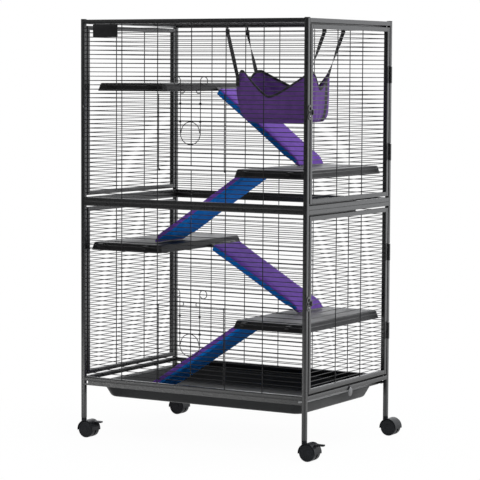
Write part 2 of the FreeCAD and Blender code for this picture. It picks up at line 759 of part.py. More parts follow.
def tray_lock():
    """Oval turn button in front of the base rail, hanging from its pivot pin."""
    half = LOCK_WIDTH / 2
    outline = []
    for centre, first in ((LOCK_Z, 0), (LOCK_Z - LOCK_LENGTH + LOCK_WIDTH, 180)):
        for k in range(LOBE_STEPS + 1):
            t = math.radians(first + 180 * k / LOBE_STEPS)
            outline.append((LOCK_Y + half * math.cos(t), centre + half * math.sin(t)))
    x = HALF_X + GAP
    plate = prism("x", x, x + LOCK_PLATE, outline)
    ends = (x - OVERRUN, x + LOCK_PLATE + OVERRUN)
    return plate.cut(bore("x", ends[0], ends[1], LOCK_Y, LOCK_Z, PIN_R + RUN_FIT))


def pouch_ring(z, grow, inset):
    """Outline of the hammock pouch at a height."""
    a = POUCH_LENGTH / 2 + grow - inset
    b = POUCH_WIDTH / 2 + grow - inset
    return rounded(z, (POUCH_X - a, POUCH_X + a), (POUCH_Y - b, POUCH_Y + b), POUCH_CORNER - inset)


def dip(axis, span, depth, start, stop, u):
    """Round cutter that leaves a hanging edge between two peaks."""
    radius = (span * span / 4 + depth * depth) / (2 * depth)
    return bore(axis, start, stop, u, POUCH_TOP - depth + radius, radius, POUCH_DIP_SIDES)


def pouch_grow(share):
    """How far the pouch stands out beyond its mouth at a share of its height."""
    belly = math.sin(math.pi * share) * POUCH_BULGE
    return belly - POUCH_FLOOR_INSET * max(0.0, 1 - share / POUCH_ROUND) ** 2


def hammock():
    """Soft pouch that bulges at its belly, with edges that hang between four peaks."""
    low = POUCH_TOP - POUCH_HEIGHT
    shares = (0, POUCH_ROUND / 2, POUCH_ROUND, 0.5, 0.75, 1)
    outer = skin([pouch_ring(low + POUCH_HEIGHT * share, pouch_grow(share), 0) for share in shares])
    room = [pouch_ring(low + POUCH_WALL, pouch_grow(0), POUCH_WALL)]
    for share in shares[1:]:
        room.append(pouch_ring(low + POUCH_HEIGHT * share, pouch_grow(share), POUCH_WALL))
    room.append(pouch_ring(POUCH_TOP + OVERRUN, pouch_grow(1), POUCH_WALL))
    shell = outer.cut(skin(room))
    wide = POUCH_WIDTH
    shell = shell.cut(dip("y", POUCH_LENGTH, POUCH_FRONT_DIP, POUCH_Y - wide, POUCH_Y, POUCH_X))
    shell = shell.cut(dip("y", POUCH_LENGTH, POUCH_BACK_DIP, POUCH_Y, POUCH_Y + wide, POUCH_X))
    ends = (POUCH_X - POUCH_LENGTH, POUCH_X + POUCH_LENGTH)
    return shell.cut(dip("x", POUCH_WIDTH, POUCH_END_DIP, ends[0], ends[1], POUCH_Y))


def strap_bar_x(end):
    """Place of the roof bar that the straps at one end hang from."""
    return ROOF_PITCH * (STRAP_LEFT_BAR if end < 0 else STRAP_RIGHT_BAR)


def strap_y(side):
    """Near and far face of a strap that laps the outside of the pouch."""
    share = 1 - (POUCH_CORNER + STRAP_LAP) / POUCH_HEIGHT
    face = POUCH_Y + side * (POUCH_WIDTH / 2 + pouch_grow(share) + GAP)
    return sorted((face, face + side * STRAP_THICK))


def hammock_strap(end, side):
    """Flat strap from a peak of the pouch to a ring on a roof bar."""
    foot = POUCH_X + end * (POUCH_LENGTH / 2 - POUCH_CORNER + STRAP_INSET)
    top = strap_bar_x(end)
    half = STRAP_WIDTH / 2
    peak = POUCH_TOP - POUCH_CORNER
    high = RING_Z - RING_R - RING_WIRE - GAP
    y = strap_y(side)
    outline = [(foot - half, peak - STRAP_LAP), (foot + half, peak - STRAP_LAP), (foot + half, peak),
               (top + half, high), (top - half, high), (foot - half, peak)]
    return prism("y", y[0], y[1], outline)


def hammock_clip(end, side):
    """Ring round a roof bar that carries a strap."""
    x = strap_bar_x(end)
    y = sum(strap_y(side)) / 2
    outline = polygon(x, RING_Z, RING_R + RING_WIRE, RING_SIDES)
    ring = prism("y", y - RING_WIRE / 2, y + RING_WIRE / 2, outline)
    return ring.cut(prism("y", y - RING_WIRE, y + RING_WIRE, polygon(x, RING_Z, RING_R, RING_SIDES)))


def leg(sx, sy):
    """Length of tube under a post with the socket of a caster stem."""
    stub = tube("z", LEG_BOTTOM, LEG_TOP, sx * POST_X, sy * POST_Y)
    depth = LEG_BOTTOM + STEM_LENGTH + GAP
    return stub.cut(bore("z", LEG_BOTTOM, depth, sx * POST_X, sy * POST_Y, STEM_R + RUN_FIT))


def caster_fork(sx, sy, braked):
    """Hood with a web between the wheels, a boss and stem in the leg, and the axle."""
    x = sx * POST_X
    y = sy * POST_Y
    axle_x = x + TRAIL
    hood = prism("y", y - HOOD_HALF, y + HOOD_HALF, polygon(axle_x, WHEEL_R, HOOD_R, HOOD_SIDES))
    boss_top = LEG_BOTTOM - GAP
    hood = hood.fuse(rod("z", WHEEL_R, boss_top, x, y, BOSS_R, BOSS_SIDES))
    inside = polygon(axle_x, WHEEL_R, HOOD_R - HOOD_WALL, HOOD_SIDES)
    for s in (-1, 1):
        ends = sorted((y + s * WEB_HALF, y + s * (HOOD_HALF + OVERRUN)))
        hood = hood.cut(prism("y", ends[0], ends[1], inside))
    reach = 2 * HOOD_R
    below = (-reach, WHEEL_R - HOOD_DROP)
    hood = hood.cut(box((axle_x - reach, axle_x + reach), (y - reach, y + reach), below))
    hood = hood.fuse(rod("y", y - WEB_HALF, y + WEB_HALF, axle_x, WHEEL_R, HUB_R))
    hood = hood.fuse(rod("y", y - WHEEL_OUTER, y + WHEEL_OUTER, axle_x, WHEEL_R, AXLE_R))
    hood = hood.fuse(rod("z", boss_top - OVERRUN, LEG_BOTTOM + STEM_LENGTH, x, y, STEM_R))
    if braked:
        hood = hood.fuse(pedal_ears(axle_x, y))
    return hood.removeSplitter()


def pedal_axis(axle_x):
    """Axis (x, z) of a brake pedal."""
    t = math.radians(PEDAL_ANGLE)
    return (axle_x + PEDAL_OUT * math.cos(t), WHEEL_R + PEDAL_OUT * math.sin(t))


def pedal_ears(axle_x, y):
    """Two ears on the hood with the pin of the brake pedal."""
    px, pz = pedal_axis(axle_x)
    t = math.radians(PEDAL_ANGLE)
    root = HOOD_R - HOOD_WALL / 2
    foot = (axle_x + root * math.cos(t), WHEEL_R + root * math.sin(t))
    a = PEDAL_BARREL_R * math.sin(t)
    b = PEDAL_BARREL_R * math.cos(t)
    outline = [(foot[0] - a, foot[1] + b), (foot[0] + a, foot[1] - b), (px + a, pz - b), (px - a, pz + b)]
    near = PEDAL_HALF + GAP
    ears = prism("y", y - near - EAR, y - near, outline).fuse(prism("y", y + near, y + near + EAR, outline))
    return ears.fuse(rod("y", y - near - OVERRUN, y + near + OVERRUN, px, pz, PEDAL_PIN_R))


def brake_pedal(sx, sy):
    """Pedal plate with the barrel that turns on the ears' pin."""
    y = sy * POST_Y
    px, pz = pedal_axis(sx * POST_X + TRAIL)
    ends = (y - PEDAL_HALF, y + PEDAL_HALF)
    tip = px + PEDAL_LENGTH
    crest = pz + PEDAL_BARREL_R
    plate = [(px, crest - PEDAL_PLATE), (tip, pz), (tip, pz + PEDAL_PLATE), (px, crest)]
    shape = rod("y", ends[0], ends[1], px, pz, PEDAL_BARREL_R).fuse(prism("y", ends[0], ends[1], plate))
    hole = bore("y", ends[0] - OVERRUN, ends[1] + OVERRUN, px, pz, PEDAL_PIN_R + RUN_FIT)
    return shape.cut(hole).removeSplitter()


def wheel(sx, sy, side):
    """One wheel of a twin caster."""
    x = sx * POST_X + TRAIL
    y = sy * POST_Y
    near = y + side * WHEEL_INNER
    shoulder = y + side * (WHEEL_OUTER - WHEEL_EDGE)
    far = y + side * WHEEL_OUTER
    sections = []
    for at, r in ((near, WHEEL_R), (shoulder, WHEEL_R), (far, WHEEL_R - WHEEL_EDGE)):
        sections.append([point("y", at, u, v) for u, v in polygon(x, WHEEL_R, r, WHEEL_SIDES)])
    low, high = sorted((near, far))
    return skin(sections).cut(bore("y", low - OVERRUN, high + OVERRUN, x, WHEEL_R, AXLE_R + RUN_FIT))


def corner_cap(sx, sy):
    """Cap on the top of a post."""
    return prism("z", ROOF_Z, ROOF_Z + CAP_HEIGHT, eased_square(sx * POST_X, sy * POST_Y, TUBE, TUBE_EDGE))


def joint_screw(sx, sy, s):
    """Hexagon head on the outer face of a post, above or below the seam."""
    y = sorted((sy * HALF_Y, sy * (HALF_Y + SCREW_HEAD)))
    return prism("y", y[0], y[1], hexagon(sx * POST_X, SEAM_Z + s * SCREW_SPREAD, SCREW_ACROSS, True))


CORNERS = (("front_left", -1, -1), ("front_right", 1, -1), ("back_left", -1, 1), ("back_right", 1, 1))
BRAKED = ("front_left", "front_right")
STOREYS = (("lower", 0, LOWER_SILL_ROW, LOWER_HEAD_ROW), ("upper", 1, UPPER_SILL_ROW, UPPER_HEAD_ROW))
SIGNS = [(sx, sy) for _, sx, sy in CORNERS]

os.makedirs("parts", exist_ok=True)

# Frame
save("legs", [leg(sx, sy) for sx, sy in SIGNS])
save("corner_caps", [corner_cap(sx, sy) for sx, sy in SIGNS])
save("joint_screws", [joint_screw(sx, sy, s) for sx, sy in SIGNS for s in (-1, 1)])
save("tray_runners", [tray_runner(side) for side in (-1, 1)])
save("roof_grille", roof_grille())
for name, storey, sill, head in STOREYS:
    save(name + "_frame", storey_frame(storey))
    save("front_" + name + "_grille", front_grille(storey, sill, head))
    save("back_" + name + "_grille", back_grille(storey))
    save("left_" + name + "_frame", panel_frame(storey, -1) + panel_lugs(storey))
    save("left_" + name + "_grille", panel_grille(storey, -1))

# Doors and their hardware
for name, storey, sill, head in STOREYS:
    save(name + "_door_frame", panel_frame(storey, 1) + [hasp_pivot(storey)])
    save(name + "_door_grille", panel_grille(storey, 1))
    save(name + "_door_hinge_leaves", [door_leaf(z) for z in hinge_heights(storey)])
    save(name + "_hasp", [hasp(storey)])
    save(name + "_small_door", small_door(storey, sill, head))
    save(name + "_wire_clip", wire_clip(storey, head))
HINGES = hinge_heights(0) + hinge_heights(1)
save("post_hinge_leaves", [post_leaf(z) for z in HINGES])
save("hinge_pins", [hinge_pin(z) for z in HINGES])
studs = [rod("x", HALF_X, HALF_X + STUD_LENGTH, STUD_Y, hasp_z(k) - HASP_R, STUD_R) for k in (0, 1)]
studs.append(pin("x", HALF_X, HALF_X + STUD_LENGTH, LOCK_Y, LOCK_Z, PIN_R))
save("keeper_studs", studs)

# Platforms and ramps: place, edge and line of each ramp from the top down
LEFT_X = (UPPER_LEFT_GAP - INNER_X, LOWER_LEFT_GAP - INNER_X)
RIGHT_X = INNER_X - RIGHT_GAP
PLACES = (("upper_left", (LEFT_X[0], LEFT_X[0] + UPPER_LEFT_LENGTH, 1, UPPER_LEFT_ROW), 1, RAMP_BACK_Y),
          ("upper_right", (RIGHT_X - RIGHT_LENGTH, RIGHT_X, 1, UPPER_RIGHT_ROW), -1, RAMP_FRONT_Y),
          ("lower_left", (LEFT_X[1], LEFT_X[1] + LOWER_LEFT_LENGTH, 0, LOWER_LEFT_ROW), 1, RAMP_BACK_Y),
          ("lower_right", (RIGHT_X - RIGHT_LENGTH, RIGHT_X, 0, LOWER_RIGHT_ROW), -1, RAMP_FRONT_Y))
for k, (name, place, edge, y) in enumerate(PLACES):
    save("platform_" + name, [platform(place, edge, y)])
    if k + 1 < len(PLACES):
        below = PLACES[k + 1][1]
        foot = ((below[0] if edge > 0 else below[1]) + edge * RAMP_FEET[k], platform_top(below) + GAP)
    else:
        foot = (TRAY_PAN_X[0] + RAMP_FEET[k], TRAY_FLOOR + BEDDING_ROOM)
    board, cover = ramp(place, edge, y, foot)
    save("ramp_%d_board" % (k + 1), [board])
    save("ramp_%d_cover" % (k + 1), [cover])

# Tray
save("tray", [tray()])
save("tray_lock", [tray_lock()])

# Hammock
save("hammock", [hammock()])
save("hammock_straps", [hammock_strap(end, side) for end in (-1, 1) for side in (-1, 1)])
save("hammock_clips", [hammock_clip(end, side) for end in (-1, 1) for side in (-1, 1)])

# Casters
for name, sx, sy in CORNERS:
    save("caster_" + name + "_fork", [caster_fork(sx, sy, name in BRAKED)])
    save("caster_" + name + "_wheels", [wheel(sx, sy, side) for side in (-1, 1)])
    if name in BRAKED:
        save("caster_" + name + "_brake", [brake_pedal(sx, sy)])
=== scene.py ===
"""Dressed model of a two-storey wire cage on casters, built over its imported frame."""
import logging
import math
from collections.abc import Callable, Iterator
from contextlib import contextmanager
from dataclasses import dataclass
from enum import Enum

import bmesh
import bpy
from bpy.types import Material, Node, NodeTree, Object
from mathutils import Matrix, Vector


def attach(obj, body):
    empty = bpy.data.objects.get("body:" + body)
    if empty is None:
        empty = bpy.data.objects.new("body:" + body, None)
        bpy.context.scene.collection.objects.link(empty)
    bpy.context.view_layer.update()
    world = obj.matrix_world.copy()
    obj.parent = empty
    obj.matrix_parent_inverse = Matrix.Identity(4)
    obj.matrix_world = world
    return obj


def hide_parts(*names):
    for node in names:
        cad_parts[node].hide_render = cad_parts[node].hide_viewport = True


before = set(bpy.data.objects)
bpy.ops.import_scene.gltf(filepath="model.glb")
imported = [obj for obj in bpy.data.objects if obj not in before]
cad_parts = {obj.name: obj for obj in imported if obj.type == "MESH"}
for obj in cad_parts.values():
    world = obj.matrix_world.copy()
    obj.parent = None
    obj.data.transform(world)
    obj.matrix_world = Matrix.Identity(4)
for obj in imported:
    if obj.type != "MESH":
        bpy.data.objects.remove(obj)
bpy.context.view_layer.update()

LOG = logging.getLogger("cage")

Pair = tuple[float, float]
Triple = tuple[float, float, float]
Test = Callable[[Vector, Vector], bool]

SIDES = (-1, 1)
EXACT = 1e-7
SAME = 1e-6
NEAR = 1e-5
APART = 1e-4
FACING = 0.9
PIN_CLEAR = 0.00005


def around(middle: float, half: float) -> Pair:
    """Places on both sides of a middle."""
    return (middle - half, middle + half)


class Axis(Enum):
    """Axes that straight stock can run along."""

    X = 0
    Y = 1
    Z = 2


class Ease:
    """Widths of the rounded edges of small pieces, in metres."""

    HAIR = 0.0003
    FINE = 0.0004
    SMALL = 0.0005
    PLAIN = 0.0006
    SOFT = 0.0008
    FULL = 0.0012


class Storey(Enum):
    """The two storeys of the cage."""

    LOWER = 0
    UPPER = 1

    @property
    def word(self) -> str:
        """Name used in the frame's nodes and bodies."""
        return self.name.lower()


@dataclass(frozen=True)
class CagePlan:
    """Driving sizes of the cage in metres, as the part's source has them."""

    width: float = 0.770
    depth: float = 0.525
    storey: float = 0.540
    base: float = 0.170
    tube: float = 0.0127
    rows: int = 39
    row_wire: float = 0.0022
    upright_wire: float = 0.0028
    gap: float = 0.0003
    panel_gap: float = 0.005
    leg_bottom: float = 0.057

    @property
    def post_x(self) -> float:
        """Middle of a post along X."""
        return (self.width - self.tube) / 2

    @property
    def post_y(self) -> float:
        """Middle of a post along Y."""
        return (self.depth - self.tube) / 2

    @property
    def posts(self) -> list[Pair]:
        """Middles of the four posts."""
        return [(sx * self.post_x, sy * self.post_y) for sx in SIDES for sy in SIDES]

    @property
    def inner_x(self) -> float:
        """Inner face of a post along X."""
        return self.width / 2 - self.tube

    @property
    def inner_y(self) -> float:
        """Inner face of a post along Y."""
        return self.depth / 2 - self.tube

    @property
    def seam(self) -> float:
        """Height where the two storeys meet."""
        return self.base + self.storey

    @property
    def roof(self) -> float:
        """Top of the frame."""
        return self.base + 2 * self.storey

    @property
    def pitch(self) -> float:
        """Step between wire rows."""
        return (self.storey - 2 * self.tube) / (self.rows + 1)

    @property
    def upright_off(self) -> float:
        """How far the uprights stand outside the rows."""
        return (self.row_wire + self.upright_wire) / 2

    def inside(self, storey: Storey, inset: float) -> Pair:
        """Lowest and highest place of a storey, set in from its frame."""
        low = self.base + storey.value * self.storey
        return (low + inset, low + self.storey - inset)

    def row(self, storey: Storey, row: int) -> float:
        """Height of one wire row."""
        return self.inside(storey, self.tube)[0] + self.pitch * (row + 1)


PLAN = CagePlan()


class Nodes:
    """Short way of writing a node tree."""

    def __init__(self, tree: NodeTree) -> None:
        """Empty a tree and start on it."""
        tree.nodes.clear()
        self.tree = tree

    @classmethod
    def of(cls, block: Material | bpy.types.World) -> "Nodes":
        """Start on the tree of a material or a world."""
        block.use_nodes = True
        return cls(block.node_tree)

    def add(self, kind: str, **values: object) -> Node:
        """Add a node and set its sockets and settings.

        Args:
            kind: Blender's name of the node type.
            values: Settings by attribute name, or sockets by name with underscores for spaces.

        Returns:
            The new node.
        """
        node = self.tree.nodes.new(kind)
        for key, value in values.items():
            if hasattr(node, key):
                setattr(node, key, value)
            else:
                node.inputs[key.replace("_", " ")].default_value = value
        return node

    def link(self, start: Node, out: str | int, end: Node, into: str | int) -> None:
        """Join an output to an input by their names or numbers."""
        self.tree.links.new(start.outputs[out], end.inputs[into])

    def math(self, operation: str, *sources: tuple[Node, str | int], clamp: bool = False) -> Node:
        """Add a math node that works on other nodes' outputs.

        Args:
            operation: What it works out.
            sources: Nodes and their outputs, in the order of the inputs.
            clamp: Whether the result stays between 0 and 1.

        Returns:
            The new node.
        """
        node = self.add("ShaderNodeMath", operation=operation, use_clamp=clamp)
        for index, (start, out) in enumerate(sources):
            self.link(start, out, node, index)
        return node

    def mix(self, share: Node, first: Node, second: Node, out: Node) -> None:
        """Mix two shaders into an output.

        Args:
            share: Node that gives the share of the second shader.
            first: First shader.
            second: Second shader.
            out: Output of the tree.
        """
        mix = self.add("ShaderNodeMixShader")
        for index, node in enumerate((share, first, second)):
            self.link(node, 0, mix, index)
        self.link(mix, 0, out, "Surface")


class SharedEffects:
    """Shader groups that several finishes use."""

    @staticmethod
    def _start(name: str, inputs: tuple[str, ...],
               outputs: tuple[str, ...]) -> tuple[Nodes, Node, Node, Node]:
        """Open a new group with value sockets.

        Args:
            name: Name of the group.
            inputs: Input names.
            outputs: Output names.

        Returns:
            A writer on the group, its input, its output and the place on the object.
        """
        tree = bpy.data.node_groups.new(name, "ShaderNodeTree")
        for way, keys in (("INPUT", inputs), ("OUTPUT", outputs)):
            for key in keys:
                tree.interface.new_socket(key, in_out=way, socket_type="NodeSocketFloat")
        n = Nodes(tree)
        return (n, n.add("NodeGroupInput"), n.add("NodeGroupOutput"), n.add("ShaderNodeTexCoord"))

    @staticmethod
    def _noise(n: Nodes, entry: Node, scale: str, where: Node, detail: float, rough: float) -> Node:
        """Noise over the object, its scale an input of the group.

        Args:
            n: Writer on the group.
            entry: Input of the group.
            scale: Name of the input that sets the scale.
            where: Place on the object.
            detail: Detail of the noise.
            rough: Roughness of the noise.

        Returns:
            The noise node.
        """
        noise = n.add("ShaderNodeTexNoise", Detail=detail, Roughness=rough)
        n.link(where, "Object", noise, "Vector")
        n.link(entry, scale, noise, "Scale")
        return noise

    @classmethod
    def grain(cls) -> NodeTree:
        """Two sizes of mottling for paint and moulded plastic.

        Returns:
            Group with outputs Height, for bump, and Shade, for colour and gloss.
        """
        if "SurfaceGrain" in bpy.data.node_groups:
            return bpy.data.node_groups["SurfaceGrain"]
        n, entry, leave, where = cls._start("SurfaceGrain", ("Fine", "Broad"), ("Height", "Shade"))
        n.link(cls._noise(n, entry, "Fine", where, 3.0, 0.6), "Fac", leave, "Height")
        n.link(cls._noise(n, entry, "Broad", where, 4.0, 0.55), "Fac", leave, "Shade")
        return n.tree

    @classmethod
    def weave(cls) -> NodeTree:
        """Plain weave of threads over and under.

        Returns:
            Group with outputs Height, for bump, and Shade, for colour and gloss.
        """
        if "PlainWeave" in bpy.data.node_groups:
            return bpy.data.node_groups["PlainWeave"]
        n, entry, leave, where = cls._start("PlainWeave", ("Fine", "Broad"), ("Height", "Shade"))
        split = n.add("ShaderNodeSeparateXYZ")
        n.link(where, "Object", split, "Vector")
        waves = []
        for first, second in (("X", "Y"), ("Z", "X")):
            total = n.math("ADD", (split, first), (split, second))
            times = n.math("MULTIPLY", (total, 0), (entry, "Fine"))
            waves.append((n.math("SINE", (times, 0)), 0))
        cross = n.math("MULTIPLY_ADD", *waves)
        cross.inputs[2].default_value = 0.5
        n.link(cross, 0, leave, "Height")
        n.link(cls._noise(n, entry, "Broad", where, 5.0, 0.7), "Fac", leave, "Shade")
        return n.tree

    @classmethod
    def dust(cls) -> NodeTree:
        """Faint dust on faces that look up.

        Returns:
            Group with inputs Scale and Amount and the output Mask.
        """
        if "SettledDust" in bpy.data.node_groups:
            return bpy.data.node_groups["SettledDust"]
        n, entry, leave, where = cls._start("SettledDust", ("Scale", "Amount"), ("Mask",))
        noise = cls._noise(n, entry, "Scale", where, 6.0, 0.65)
        shape = n.add("ShaderNodeNewGeometry")
        split = n.add("ShaderNodeSeparateXYZ")
        n.link(shape, "Normal", split, "Vector")
        facing = n.math("MULTIPLY", (split, "Z"), (noise, "Fac"), clamp=True)
        scaled = n.math("MULTIPLY", (facing, 0), (entry, "Amount"), clamp=True)
        n.link(scaled, 0, leave, "Mask")
        return n.tree


@dataclass(frozen=True)
class Finish:
    """A surface: colour that varies, gloss that varies and a fine bump.

    The dark and the pale colour are the ends of the mottling, and the slot is the record's.
    """

    name: str
    slot: str
    dark: Triple
    pale: Triple
    roughness: Pair
    fine_scale: float
    broad_scale: float
    bump: float
    metallic: float = 0.0
    dust: float = 0.0
    sheen: float = 0.0
    woven: bool = False
    specular: float = 0.5

    BAND = (0.3, 0.7)
    BUMP_DEPTH = 0.0004
    SHEEN_ROUGHNESS = 0.4
    DUST_SCALE = 35.0
    DUST_COLOUR = (0.3, 0.3, 0.29, 1)

    def material(self) -> Material:
        """Make the material once and hand it out after that.

        Returns:
            The finish as a Blender material.
        """
        if self.name in bpy.data.materials:
            return bpy.data.materials[self.name]
        made = bpy.data.materials.new(self.name)
        n = Nodes.of(made)
        out = n.add("ShaderNodeOutputMaterial")
        shader = n.add("ShaderNodeBsdfPrincipled", Metallic=self.metallic, Specular_IOR_Level=self.specular)
        n.link(shader, "BSDF", out, "Surface")
        if self.sheen:
            shader.inputs["Sheen Weight"].default_value = self.sheen
            shader.inputs["Sheen Roughness"].default_value = self.SHEEN_ROUGHNESS
        effect = SharedEffects.weave() if self.woven else SharedEffects.grain()
        group = n.add("ShaderNodeGroup", node_tree=effect, Fine=self.fine_scale, Broad=self.broad_scale)
        ramp = n.add("ShaderNodeValToRGB")
        for end, place, colour in zip(ramp.color_ramp.elements, self.BAND, (self.dark, self.pale)):
            end.position = place
            end.color = (*colour, 1)
        n.link(group, "Shade", ramp, "Fac")
        n.link(self._dusted(n, ramp) if self.dust else ramp, "Color", shader, "Base Color")
        gloss = n.add("ShaderNodeMapRange", From_Min=self.BAND[0], From_Max=self.BAND[1],
                      To_Min=self.roughness[0], To_Max=self.roughness[1])
        n.link(group, "Shade", gloss, "Value")
        n.link(gloss, "Result", shader, "Roughness")
        relief = n.add("ShaderNodeBump", Strength=self.bump, Distance=self.BUMP_DEPTH)
        n.link(group, "Height", relief, "Height")
        n.link(relief, "Normal", shader, "Normal")
        return made

    def _dusted(self, n: Nodes, ramp: Node) -> Node:
        """Lay settled dust over the colour.

        Args:
            n: Writer on the material's tree.
            ramp: Node that gives the clean colour.

        Returns:
            Node whose Color output is the dusty colour.
        """
        settled = n.add("ShaderNodeGroup", node_tree=SharedEffects.dust(), Scale=self.DUST_SCALE,
                        Amount=self.dust)
        mix = n.add("ShaderNodeMixRGB", Color2=self.DUST_COLOUR)
        n.link(settled, "Mask", mix, "Fac")
        n.link(ramp, "Color", mix, "Color1")
        return mix


FRAME_PAINT = Finish("frame_powder_coat", "frame_paint", (0.005, 0.0055, 0.006), (0.016, 0.0165, 0.017),
                     (0.24, 0.40), 900.0, 260.0, 0.12, specular=0.6)
WIRE_PAINT = Finish("wire_powder_coat", "wire_paint", (0.005, 0.005, 0.006), (0.009, 0.009, 0.010),
                    (0.32, 0.45), 900.0, 30.0, 0.04, specular=0.3)
PLATFORM_PLASTIC = Finish("platform_shell", "platform_plastic", (0.006, 0.006, 0.007),
                          (0.011, 0.011, 0.012), (0.34, 0.48), 1400.0, 7.0, 0.10, dust=0.03, specular=0.2)
TRAY_PLASTIC = Finish("tray_shell", "tray_plastic", (0.019, 0.020, 0.021), (0.026, 0.027, 0.028),
                      (0.30, 0.42), 1400.0, 6.0, 0.10, dust=0.02, specular=0.10)
CAP_PLASTIC = Finish("cap_moulding", "cap_plastic", (0.008, 0.008, 0.009), (0.013, 0.013, 0.014),
                     (0.45, 0.6), 1400.0, 40.0, 0.08, specular=0.3)
CASTER_PLASTIC = Finish("caster_nylon", "caster_plastic", (0.011, 0.012, 0.014), (0.017, 0.018, 0.020),
                        (0.30, 0.42), 1200.0, 40.0, 0.05, specular=0.12)
WHEEL_PLASTIC = Finish("wheel_nylon", "wheel_plastic", (0.012, 0.013, 0.015), (0.016, 0.017, 0.020),
                       (0.32, 0.42), 900.0, 12.0, 0.04, specular=0.10)
# Paler than the frame paint: a painted highlight on the turn button's round pad.
PAD_PAINTED_HIGHLIGHT = Finish("button_painted_highlight", "frame_paint", (0.055, 0.056, 0.058), (0.075, 0.076, 0.078),
                      (0.26, 0.38), 900.0, 120.0, 0.08, specular=0.8)
SCREW_BLACK = Finish("black_zinc", "steel", (0.020, 0.020, 0.021), (0.035, 0.035, 0.036),
                     (0.30, 0.45), 600.0, 80.0, 0.05, metallic=0.6)
STEEL = Finish("zinc_steel", "steel", (0.42, 0.42, 0.43), (0.56, 0.56, 0.57),
               (0.24, 0.38), 600.0, 80.0, 0.05, metallic=1.0)
BOARD_PAINT = Finish("board_paint", "board", (0.04, 0.04, 0.043), (0.055, 0.055, 0.06),
                     (0.4, 0.55), 800.0, 20.0, 0.05)
PURPLE_FLEECE = Finish("purple_fleece", "ramp_fabric", (0.125, 0.046, 0.340), (0.195, 0.078, 0.470),
                       (0.80, 0.95), 2600.0, 55.0, 0.35, sheen=0.10, woven=True, specular=0.2)
BLUE_FLEECE = Finish("blue_fleece", "ramp_fabric", (0.0005, 0.120, 0.470), (0.002, 0.185, 0.630),
                     (0.80, 0.95), 2600.0, 55.0, 0.35, woven=True, specular=0.15)
POUCH_CLOTH = Finish("pouch_cloth", "hammock_fabric", (0.100, 0.038, 0.210), (0.150, 0.060, 0.300),
                     (0.62, 0.8), 3000.0, 45.0, 0.25, sheen=0.12, woven=True, specular=0.25)
WEBBING = Finish("black_webbing", "strap_fabric", (0.007, 0.007, 0.008), (0.014, 0.014, 0.015),
                 (0.6, 0.8), 2400.0, 70.0, 0.4, woven=True)


